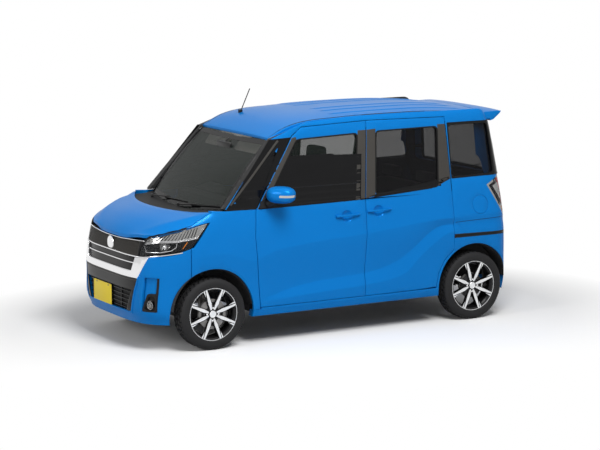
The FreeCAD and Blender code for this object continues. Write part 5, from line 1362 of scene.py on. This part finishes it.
class CAR_OT_side_fittings(bpy.types.Operator):
    """Make the door handles and rail covers, and the floor under the rear corners"""

    bl_idname = "car.side_fittings"
    bl_label = "Side fittings"

    def execute(self, context):
        twin_pieces(lambda: handle(0.031, -0.193, 0.9560, 0.9745), "front_handle", "front_door_",
                    "BodyPaint", width=0.005, limit=40)
        twin_pieces(lambda: handle(-0.263, -0.490, 0.9750, 0.9925), "sliding_handle", "shell",
                    "BodyPaint", width=0.005, limit=40)
        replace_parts(piece_from(tucked_floor(), "floor_shell", "shell", "Underbody"), "floor_pan")
        skin = skin_of(*LEFT_SIDE)
        twin_pieces(lambda: sheet_on("side", [(-1.095, 0.7005), (-1.095, 0.7325), (-1.618, 0.7255),
                                              (-1.618, 0.6985)], skin, 0.0012, 0.004),
                    "rail_cover", "shell", "MouldedBlack", width=0.0008)
        twin_pieces(lambda: sheet_on("side", strip([(-1.105, 0.7165), (-1.610, 0.7125)], 0.010),
                                     skin, 0.0026, 0.004),
                    "rail_lip", "shell", "GlossBlack", width=0.001)
        return {"FINISHED"}


MIRROR = {"middle": (0.566, 0.782, 1.184), "lean": 36}


def mirror_form(reach, depth, tall, back, power=2.7):
    """Rounded housing along the mirror's own length, cut flat behind"""
    shape = bmesh.new()
    bmesh.ops.create_uvsphere(shape, u_segments=48, v_segments=24, radius=1)
    for corner in shape.verts:
        size = sum(abs(c) ** power for c in corner.co) ** (1 / power)
        corner.co = Vector((corner.co.x * depth, corner.co.y * reach, corner.co.z * tall)) / size
    cut_with(shape, (back, 0, 0), (-1, 0, 0), clear_outer=True)
    rim = [e for e in shape.edges if e.is_boundary]
    bmesh.ops.edgeloop_fill(shape, edges=rim)
    bmesh.ops.recalc_face_normals(shape, faces=shape.faces)
    return shape


def at_mirror(shape):
    """Turn a part of the mirror with its housing and move it there"""
    return placed(shape, MIRROR["lean"], "Z", MIRROR["middle"])


class CAR_OT_mirrors(bpy.types.Operator):
    """Make the door mirrors: rounded housing, glass, side signal and dark foot"""

    bl_idname = "car.mirrors"
    bl_label = "Door mirrors"

    def execute(self, context):
        housings = twin_pieces(lambda: at_mirror(mirror_form(0.116, 0.078, 0.066, -0.034)),
                               "mirror_housing", "front_door_", "BodyPaint", width=0.004, limit=50)
        for hand, piece in zip(HANDS, housings):
            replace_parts(piece, "mirror_" + hand)

        def face():
            shape = slab("front", rounded([(-0.096, -0.050), (0.098, -0.050), (0.100, 0.048),
                                           (-0.096, 0.050)], 0.026), -0.0365, -0.032)
            return at_mirror(shape)

        twin_pieces(face, "mirror_face", "front_door_", "MirrorSilver", width=0.0006)

        def signal():
            shape = mirror_form(0.1175, 0.0795, 0.0675, -0.020)
            for place, normal in (((0, 0, -0.012), (0, 0, -1)), ((0, 0, 0.006), (0, 0, 1)),
                                  ((0, 0.020, 0), (0, -1, 0))):
                cut_with(shape, place, normal, clear_outer=True)
            bmesh.ops.holes_fill(shape, edges=[e for e in shape.edges if e.is_boundary], sides=0)
            return at_mirror(shape)

        twin_pieces(signal, "mirror_signal", "front_door_", "LampSilver", slot="lamp_lens")

        def foot():
            shape = trim("side", rounded([(0.715, 1.076), (0.700, 1.128), (0.655, 1.150),
                                          (0.590, 1.140), (0.560, 1.084)], 0.012), 0.012, 0.016)
            join(shape, bar((0.640, 0.700, 1.108), (0.598, 0.752, 1.132), 0.030, 20, 0.024))
            return shape

        twin_pieces(foot, "mirror_foot", "front_door_", "MouldedBlack", width=0.003)
        return {"FINISHED"}


class CAR_OT_screen(bpy.types.Operator):
    """Make the dark border of the windscreen and the wipers"""

    bl_idname = "car.screen"
    bl_label = "Windscreen border and wipers"

    def execute(self, context):
        skin = skin_of("windscreen")
        half = [(0.607, 1.078), (0.590, 1.220), (0.573, 1.400), (0.556, 1.583), (0.30, 1.580),
                (0.0, 1.574)]
        outline = half + [(-y, z) for y, z in half[-2::-1]] + [(-0.34, 1.050), (0.0, 1.036),
                                                               (0.34, 1.050)]
        border = sheet_on("front", outline[::-1], skin, 0.0012, 0.003, ring=0.030)
        piece_from(border, "screen_border", "shell", "GlossBlack")
        edge = [(0.598, 1.068), (0.700, 1.080), (0.680, 1.220), (0.640, 1.440), (0.594, 1.606),
                (0.552, 1.590), (0.566, 1.400), (0.584, 1.220)]
        pillar = skin_of("windscreen", "body_side_left")
        twin_pieces(lambda: sheet_on("front", edge, pillar, 0.0014, 0.004, step=0.01),
                    "screen_pillar", "shell", "GlossBlack")
        for name, root, elbow, tip in (
                ("wiper_driver", (1.075, -0.46, 1.062), (1.045, -0.20, 1.085),
                 (1.035, 0.10, 1.073)),
                ("wiper_passenger", (1.080, 0.02, 1.052), (1.050, 0.28, 1.082),
                 (1.000, 0.56, 1.098))):
            up = Vector((0, 0, 0.012))
            arm = join(bar(root, elbow, 0.006, 12, 0.0045),
                       bar(Vector(root) - up, Vector(root) + up, 0.012, 20, 0.009))
            piece_from(arm, name + "_arm", "shell", "SatinBlack", width=0.001)
            low = Vector(root) * 0.35 + Vector(elbow) * 0.65
            blade = bmesh.new()
            for k in range(12):
                a, b = [low.lerp(Vector(tip), (k + n) / 12) for n in (0, 1)]
                spots = [skin.find_nearest(p) for p in (a, b)]
                a, b = [spot + normal * 0.007 for spot, normal, _, _ in spots]
                join(blade, bar(a, b, 0.0045, 8))
            piece_from(blade, name + "_blade", "shell", "Rubber")
        return {"FINISHED"}


# Rear end
class CAR_OT_rear_lamps(bpy.types.Operator):
    """Make the tail lamps' silver housings, red bars and dark inner cells"""

    bl_idname = "car.rear_lamps"
    bl_label = "Rear lamps"

    def execute(self, context):
        side = [(-1.585, 1.186), (-1.446, 1.113), (-1.597, 0.862), (-1.612, 0.862), (-1.600, 1.10)]
        twin_pieces(lambda: trim("side", side, -0.020, 0.004), "tail_reflector", "shell",
                    "LampSilver", slot="chrome")
        dark = [(-1.572, 1.150), (-1.478, 1.106), (-1.588, 0.930)]
        twin_pieces(lambda: trim("side", dark, -0.010, 0.006), "tail_cell", "shell", "GlossBlack",
                    width=0.002)
        inner = [(-1.560, 1.128), (-1.500, 1.100), (-1.574, 0.985)]
        twin_pieces(lambda: trim("side", inner, -0.006, 0.005), "tail_cell_face", "shell",
                    "LampSilver", slot="chrome", width=0.002)
        face = [(0.620, 1.185), (0.668, 1.150), (0.672, 0.870), (0.622, 0.862)]
        twin_pieces(lambda: trim("rear", face, -0.024, 0.004), "tail_back", "shell", "LampSilver",
                    slot="chrome")
        for low, high, look in ((0.875, 0.925, "AmberLens"), (0.940, 1.040, "RedLens"),
                                (1.055, 1.160, "RedLens")):
            outline = [(0.626, low), (0.664, low), (0.662, high), (0.627, high)]
            twin_pieces(lambda: trim("rear", outline, -0.010, 0.012), "tail_bar_%d" % (low * 1000),
                        "shell", look, slot="lamp_lens", width=0.002)
        return {"FINISHED"}


class CAR_OT_tailgate_fittings(bpy.types.Operator):
    """Make the tailgate's glass border, handle strip, plate, wiper and high stop lamp"""

    bl_idname = "car.tailgate_fittings"
    bl_label = "Tailgate fittings"

    def execute(self, context):
        skin = skin_of("tailgate", "tailgate_glass")
        glass = [(-0.552, 1.182), (0.552, 1.182), (0.488, 1.616), (-0.488, 1.616)]
        frame = sheet_on("front", rounded(glass, 0.03), skin, 0.0014, 0.004, side=-1, ring=0.030)
        piece_from(frame, "tailgate_border", "tailgate", "GlossBlack")
        grip = sheet_on("front", rounded([(-0.330, 1.010), (0.330, 1.010), (0.322, 1.052),
                                          (-0.322, 1.052)], 0.012), skin, 0.016, 0.020, side=-1)
        piece_from(grip, "tailgate_grip", "tailgate", "Chrome", width=0.004)
        tray = sheet_on("front", rounded(rectangle((-0.205, 0.800), (0.205, 1.004)), 0.016),
                        skin, 0.0022, 0.006, side=-1)
        piece_from(tray, "plate_tray", "tailgate", "MouldedBlack", width=0.001)
        spots = [v.co.x for v in bpy.data.objects["plate_tray"].data.vertices]
        face = min(spots) - 0.004
        outline = rounded(rectangle((-0.165, 0.818), (0.165, 0.983)), 0.010)
        plate = slab("front", outline, face, face + 0.0014)
        piece_from(plate, "rear_plate", "tailgate", "PlateEnamel", width=0.0004)
        bolts = join(*(bar((face - 0.004, y, 0.969), (face + 0.004, y, 0.969), 0.0055, 20)
                       for y in (0.105, -0.105)))
        piece_from(bolts, "rear_plate_bolts", "tailgate", "CastIron", width=0.0008)
        root = skin.ray_cast(Vector((-3, 0.0, 1.150)), Vector((1, 0, 0)))[0]
        tip = skin.ray_cast(Vector((-3, 0.300, 1.230)), Vector((1, 0, 0)))[0]
        boss = bar(root + Vector((0.004, 0, 0)), root - Vector((0.030, 0, 0)), 0.022, 28, 0.018)
        arm = bar(root - Vector((0.024, 0, 0)), tip - Vector((0.020, 0.08, 0.018)), 0.006, 12,
                  0.004)
        piece_from(join(boss, arm), "rear_wiper_arm", "tailgate", "SatinBlack", width=0.0015)
        blade = bar(root.lerp(tip, 0.12) - Vector((0.014, 0, -0.004)),
                    tip - Vector((0.012, 0, 0)), 0.0055, 10)
        piece_from(blade, "rear_wiper_blade", "tailgate", "Rubber")
        stop = skin_of("spoiler")
        lamp = sheet_on("front", rounded(rectangle((-0.130, 1.656), (0.130, 1.672)), 0.004),
                        stop, 0.002, 0.008, side=-1)
        piece_from(lamp, "stop_lamp", "tailgate", "RedLens", width=0.0015)
        bumper = skin_of("rear_bumper")
        outline = rounded(rectangle((0.480, 0.330), (0.625, 0.372)), 0.008)
        twin_pieces(lambda: sheet_on("front", outline, bumper, 0.003, 0.008, side=-1),
                    "rear_reflector", "shell", "RedLens", width=0.0015)
        band = sheet_on("front", rounded([(-0.420, 0.235), (0.420, 0.235), (0.395, 0.300),
                                          (-0.395, 0.300)], 0.014), bumper, 0.002, 0.005, side=-1)
        piece_from(band, "rear_lower_panel", "shell", "SatinBlack", width=0.001)
        pipe = lathe([(0.0, 0.021), (0.0, 0.0235), (0.16, 0.0235), (0.16, 0.021), (0.0, 0.021)],
                     40)
        placed(pipe, 90, "Z", (-1.500, -0.400, 0.212))
        piece_from(pipe, "tail_pipe", "shell", "CastIron", width=0.0006)
        return {"FINISHED"}


def pressed_bead(line, skin):
    """Low rounded rib along the roof"""
    shape = sheet_on("plan", strip(line, 0.034), skin, 0.0003, 0.001, step=0.0085)
    middle = line[1][1]
    for corner in shape.verts:
        share = max(0.0, 1 - ((corner.co.y - middle) / 0.017) ** 2)
        ends = min(1.0, max(0.0, (-0.06 - corner.co.x) / 0.06),
                   max(0.0, (corner.co.x + 1.34) / 0.06))
        corner.co.z += 0.0045 * share * ends
    return shape


class CAR_OT_roof_fittings(bpy.types.Operator):
    """Make the roof's drip strips, its pressed beads and the quarter panel's seam"""

    bl_idname = "car.roof_fittings"
    bl_label = "Roof strips and beads"

    def execute(self, context):
        skin = skin_of("roof_panel", "body_side_left")
        line = [(0.560, 0.540), (0.30, 0.548), (-0.30, 0.556), (-0.90, 0.557), (-1.40, 0.552)]
        twin_pieces(lambda: sheet_on("plan", strip(line, 0.007), skin, 0.0008, 0.003, step=0.05),
                    "drip_strip", "shell", "Rubber")
        roof = skin_of("roof_panel")
        for place in (0.150, 0.290, 0.430):
            bead = [(-0.10, place - 0.012), (-0.06, place), (-1.30, place), (-1.34, place - 0.012)]
            twin_pieces(lambda: pressed_bead(bead, roof), "roof_bead_%d" % (place * 100), "shell",
                        "BodyPaint")
        side = skin_of(*LEFT_SIDE)
        seam = strip([(-1.091, 0.828), (-1.30, 0.834), (-1.590, 0.841)], 0.0035)
        twin_pieces(lambda: sheet_on("side", seam, side, 0.0006, 0.002), "quarter_seam", "shell",
                    "Rubber")
        return {"FINISHED"}


# Cabin
SEATS = {"passenger": (0.320, 0.500, 0.070), "driver": (-0.320, 0.370, -0.060)}
SEAM_DEPTH, SEAM_WIDTH, SEAM_ACROSS = 0.009, 0.035, 0.15


def cushion(length, width, thick, seams=(0.60,), crown=0.020, cells=22):
    """Stuffed pad lying flat: crowned top, sides drawn in between its corners, sewn channels"""
    shape = bmesh.new()
    bmesh.ops.create_cube(shape, size=2)
    bmesh.ops.subdivide_edges(shape, edges=shape.edges[:], cuts=cells, use_grid_fill=True)
    half = Vector((length / 2, width / 2, thick / 2))
    for corner in shape.verts:
        u, v, w = corner.co
        size = (abs(u) ** 7 + abs(v) ** 7 + abs(w) ** 5) ** (1 / 6)
        flat = Vector((u, v, w)) / max(size, 1)
        puff = (1 - flat.x ** 2) * (1 - flat.y ** 2)
        top = max(flat.z, 0)
        lift = crown * puff * top
        for seam in seams:
            for line in (abs(flat.y) - seam, flat.x - SEAM_ACROSS):
                lift -= SEAM_DEPTH * top * math.exp(-(line / SEAM_WIDTH) ** 2)
        drawn = 1 - 0.035 * (1 - abs(flat.z)) - 0.012 * math.cos(flat.y * math.pi / 2)
        corner.co = Vector((flat.x * half.x * drawn, flat.y * half.y, flat.z * half.z + lift))
    bmesh.ops.recalc_face_normals(shape, faces=shape.faces)
    return shape


def set_down(shape, middle, lean):
    """Lean a pad back about the car's width and put it in place"""
    return placed(shape, lean, "Y", middle)


def pad_piece(shape, name):
    """A stuffed piece of the seats"""
    piece = piece_from(shape, name, "shell", "SeatCloth", slot="seat_fabric")
    return piece


class CAR_OT_seats(bpy.types.Operator):
    """Make the front seats and the rear bench with their head restraints and frames"""

    bl_idname = "car.seats"
    bl_label = "Seats"

    def execute(self, context):
        for name, (y, front, back) in SEATS.items():
            middle = ((front + back) / 2 - 0.010, y, 0.478)
            first = pad_piece(set_down(cushion(0.470, 0.420, 0.130), middle, -4),
                              "seat_cushion_" + name)
            if name == "passenger":
                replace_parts(first, "front_seats")
            pad_piece(set_down(cushion(0.700, 0.420, 0.100), (back - 0.072, y, 0.830), 82.5),
                      "seat_rest_" + name)
            pad_piece(set_down(cushion(0.180, 0.215, 0.085, seams=(), crown=0.006, cells=14),
                               (back - 0.088, y, 1.400), 86), "head_rest_" + name)
            posts = bmesh.new()
            for offset in (-0.045, 0.045):
                join(posts, bar((back - 0.105, y + offset, 1.150),
                                (back - 0.090, y + offset, 1.340), 0.006, 14))
            piece_from(posts, "head_rest_posts_" + name, "shell", "Chrome")
            base = join(slab("side", [(back - 0.02, 0.300), (front - 0.04, 0.300),
                                      (front - 0.03, 0.420), (back - 0.03, 0.430)],
                             y - 0.195, y + 0.195),
                        slab("side", [(back - 0.10, 0.330), (back + 0.06, 0.330),
                                      (back + 0.03, 0.500), (back - 0.06, 0.520)],
                             y - 0.214, y + 0.214))
            piece_from(base, "seat_base_" + name, "shell", "DashPlastic", slot="black_trim",
                       width=0.008)
        bench = pad_piece(set_down(cushion(0.440, 1.020, 0.130, seams=(0.34, 0.02)),
                                   (-0.785, 0, 0.496), -3), "bench_cushion")
        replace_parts(bench, "rear_seat")
        pad_piece(set_down(cushion(0.560, 1.020, 0.095, seams=(0.34, 0.02)),
                           (-1.085, 0, 0.820), 84), "bench_rest")
        for y in (0.270, -0.270):
            pad_piece(set_down(cushion(0.090, 0.230, 0.070, seams=(), crown=0.004, cells=12),
                               (-1.112, y, 1.150), 86), "bench_head_%d" % (y > 0))
        base = slab("side", [(-1.000, 0.300), (-0.600, 0.300), (-0.590, 0.430), (-1.000, 0.430)],
                    -0.500, 0.500)
        piece_from(base, "bench_base", "shell", "DashPlastic", slot="black_trim", width=0.008)
        return {"FINISHED"}


def instrument_hood():
    """Hood over the instruments: an arched roof over the driver's side of the dash"""
    shape = slab("front", rounded([(-0.520, 1.070), (-0.500, 1.128), (-0.440, 1.142),
                                   (-0.260, 1.142), (-0.200, 1.128), (-0.180, 1.070)], 0.02),
                 0.540, 0.660)
    for corner in shape.verts:
        if corner.co.x > 0.60 and corner.co.z > 1.10:
            corner.co.z -= 0.030
    return shape


class CAR_OT_cabin(bpy.types.Operator):
    """Make the steering wheel, instrument hood, mirror, visors, vents and door trim"""

    bl_idname = "car.cabin"
    bl_label = "Cabin"

    def execute(self, context):
        centre, tilt = Vector((0.330, -0.350, 1.004)), math.radians(28)

        def on_helm(shape):
            bmesh.ops.transform(shape, matrix=Matrix.Translation(centre)
                                @ Matrix.Rotation(-tilt, 4, "Y") @ Matrix.Rotation(
                                    math.radians(-90), 4, "Z"), verts=shape.verts)
            bmesh.ops.recalc_face_normals(shape, faces=shape.faces)
            return shape

        steps = 20
        ring = lathe([(0.013 * math.sin(k / steps * 2 * math.pi),
                       0.175 + 0.015 * math.cos(k / steps * 2 * math.pi))
                      for k in range(steps + 1)], 72)
        helm = piece_from(on_helm(ring), "helm_rim", "steering_wheel", "DashPlastic")
        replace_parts(helm, "steering_wheel")
        pad = lathe([(-0.016, 0.0), (-0.016, 0.058), (-0.004, 0.066), (0.020, 0.060),
                     (0.026, 0.040), (0.028, 0.0)], 48)
        piece_from(on_helm(pad), "helm_pad", "steering_wheel", "DashPlastic")
        arms = bmesh.new()
        for angle in (180, 0, 270):
            outline = turned([(0.045, -0.020), (0.166, -0.012), (0.166, 0.012), (0.045, 0.020)],
                             angle)
            join(arms, slab("side", outline, -0.006, 0.008))
        piece_from(on_helm(arms), "helm_arms", "steering_wheel", "LampSilver", width=0.003)
        piece_from(instrument_hood(), "instrument_hood", "shell", "DashPlastic", width=0.006)
        mirror = slab("front", rounded([(-0.110, 1.468), (0.110, 1.468), (0.118, 1.528),
                                        (-0.118, 1.528)], 0.022), 0.640, 0.662)
        stalk = bar((0.655, 0, 1.505), (0.610, 0, 1.558), 0.009, 16)
        piece_from(join(mirror, stalk), "cabin_mirror", "shell", "SatinBlack", slot=None,
                   width=0.003)
        glass = slab("front", rounded([(-0.106, 1.473), (0.106, 1.473), (0.113, 1.523),
                                       (-0.113, 1.523)], 0.018), 0.6385, 0.6402)
        piece_from(glass, "cabin_mirror_face", "shell", "MirrorSilver")
        for name, low, high in (("visor_passenger", 0.07, 0.44), ("visor_driver", -0.44, -0.07)):
            visor = slab("front", rounded(rectangle((low, 1.440), (high, 1.570)), 0.03),
                         0.515, 0.527)
            bmesh.ops.rotate(visor, cent=(0.521, 0, 1.57), verts=visor.verts,
                             matrix=Matrix.Rotation(math.radians(-38), 3, "Y"))
            piece_from(visor, name, "shell", "CabinLining", width=0.004)
        vents = bmesh.new()
        for y in (-0.48, -0.09, 0.09, 0.48):
            join(vents, block((0.548, y - 0.045, 0.985), (0.562, y + 0.045, 1.035)))
            for k in range(4):
                join(vents, block((0.545, y - 0.042, 0.990 + k * 0.0115),
                                  (0.550, y + 0.042, 0.9935 + k * 0.0115)))
        piece_from(vents, "dash_vents", "shell", "GlossBlack", slot=None, width=0.0015)
        stack = slab("side", [(0.562, 0.720), (0.562, 0.965), (0.530, 0.960), (0.500, 0.800),
                              (0.520, 0.720)], -0.115, 0.115)
        piece_from(stack, "centre_stack", "shell", "GlossBlack", slot=None, width=0.006)
        lever = join(bar((0.522, -0.060, 0.840), (0.455, -0.075, 0.905), 0.007, 16),
                     bar((0.462, -0.074, 0.898), (0.438, -0.078, 0.922), 0.018, 24, 0.016))
        piece_from(lever, "gear_lever", "shell", "DashPlastic", width=0.003)
        twin_pieces(lambda: slab("side", rounded([(0.620, 0.420), (0.640, 0.760), (0.560, 0.900),
                                                  (-0.200, 0.940), (-0.200, 0.400)], 0.03),
                                 0.575, 0.610), "door_trim", "front_door_", "DashPlastic",
                    width=0.008)
        twin_pieces(lambda: slab("side", rounded([(0.42, 0.760), (0.46, 0.800), (-0.10, 0.830),
                                                  (-0.14, 0.780)], 0.02), 0.535, 0.580),
                    "door_rest", "front_door_", "CabinLining", width=0.010)
        return {"FINISHED"}


# Stage
LAMPS = (("TopLight", (0.0, 0.6, 7.0), (0, 0, 0), 5.0, 15),
         ("SideLight", (1.0, 5.0, 6.8), (0, 0, 0.4), 3.4, 560),
         ("NoseLight", (9.0, 2.0, 4.0), (1.0, 0, 0.8), 3.0, 230))
WORLD_LIGHT, WORLD_SEEN = 0.30, 1.0
FLOOR_HALF = 150
CAMERA_PLACE, CAMERA_AIM = (8.8207, 15.4580, 3.6372), (-0.0522, 0, 0.7895)
CAMERA_LENS, CAMERA_SENSOR = 131.14, 36


def stood(item, spot, aim):
    """Put a lamp or a camera in the scene, looking at a place"""
    item.location = spot
    item.rotation_mode = "QUATERNION"
    item.rotation_quaternion = (Vector(aim) - Vector(spot)).to_track_quat("-Z", "Y")
    bpy.context.scene.collection.objects.link(item)


class CAR_OT_stage(bpy.types.Operator):
    """Make the floor, the lights, the world and the camera"""

    bl_idname = "car.stage"
    bl_label = "Stage"

    def execute(self, context):
        scene = context.scene
        floor = bmesh.new()
        bmesh.ops.create_grid(floor, x_segments=1, y_segments=1, size=FLOOR_HALF)
        mesh = bpy.data.meshes.new("Floor")
        floor.to_mesh(mesh)
        floor.free()
        ground = bpy.data.objects.new("Floor", mesh)
        scene.collection.objects.link(ground)
        mesh.materials.append(LOOKS["FloorPaper"])
        world = bpy.data.worlds.new("Studio")
        scene.world = world
        world.use_nodes = True
        nodes, links = world.node_tree.nodes, world.node_tree.links
        sky = nodes["Background"]
        sky.inputs["Color"].default_value = (1, 1, 1, 1)
        sky.inputs["Strength"].default_value = WORLD_LIGHT
        seen = nodes.new("ShaderNodeBackground")
        seen.inputs["Strength"].default_value = WORLD_SEEN
        mix = nodes.new("ShaderNodeMixShader")
        links.new(seen_directly(world.node_tree), mix.inputs["Fac"])
        links.new(sky.outputs[0], mix.inputs[1])
        links.new(seen.outputs[0], mix.inputs[2])
        links.new(mix.outputs[0], nodes["World Output"].inputs["Surface"])
        for name, spot, aim, size, power in LAMPS:
            data = bpy.data.lights.new(name, "AREA")
            data.shape, data.size, data.energy = "SQUARE", size, power
            lamp = bpy.data.objects.new(name, data)
            stood(lamp, spot, aim)
        data = bpy.data.cameras.new("Camera")
        data.lens, data.sensor_width = CAMERA_LENS, CAMERA_SENSOR
        data.clip_end = 100
        camera = bpy.data.objects.new("Camera", data)
        stood(camera, CAMERA_PLACE, CAMERA_AIM)
        scene.camera = camera
        scene.view_settings.view_transform = "Standard"
        return {"FINISHED"}


class CAR_PT_parts(bpy.types.Panel):
    """Buttons for the pieces of the car"""

    bl_label = "Car"
    bl_idname = "CAR_PT_parts"
    bl_space_type = "VIEW_3D"
    bl_region_type = "UI"
    bl_category = "Car"

    def draw(self, context):
        for name in CarSizes.__annotations__:
            self.layout.prop(context.scene.car_sizes, name)
        for step in STEPS:
            self.layout.operator(step.bl_idname)


STEPS = (CAR_OT_finishes, CAR_OT_panels, CAR_OT_tyres, CAR_OT_rims, CAR_OT_brakes, CAR_OT_grille,
         CAR_OT_intake, CAR_OT_fog_lamps, CAR_OT_headlamps, CAR_OT_pillars, CAR_OT_side_fittings,
         CAR_OT_mirrors, CAR_OT_screen, CAR_OT_rear_lamps, CAR_OT_tailgate_fittings,
         CAR_OT_roof_fittings, CAR_OT_seats, CAR_OT_cabin, CAR_OT_stage)
CLASSES = (CarSizes, *STEPS, CAR_PT_parts)


def register():
    for item in CLASSES:
        bpy.utils.register_class(item)
    bpy.types.Scene.car_sizes = PointerProperty(type=CarSizes)


def unregister():
    del bpy.types.Scene.car_sizes
    for item in reversed(CLASSES):
        bpy.utils.unregister_class(item)


def main():
    register()
    for step in STEPS:
        group, name = step.bl_idname.split(".")
        getattr(getattr(bpy.ops, group), name)()


if __name__ == "__main__":
    main()
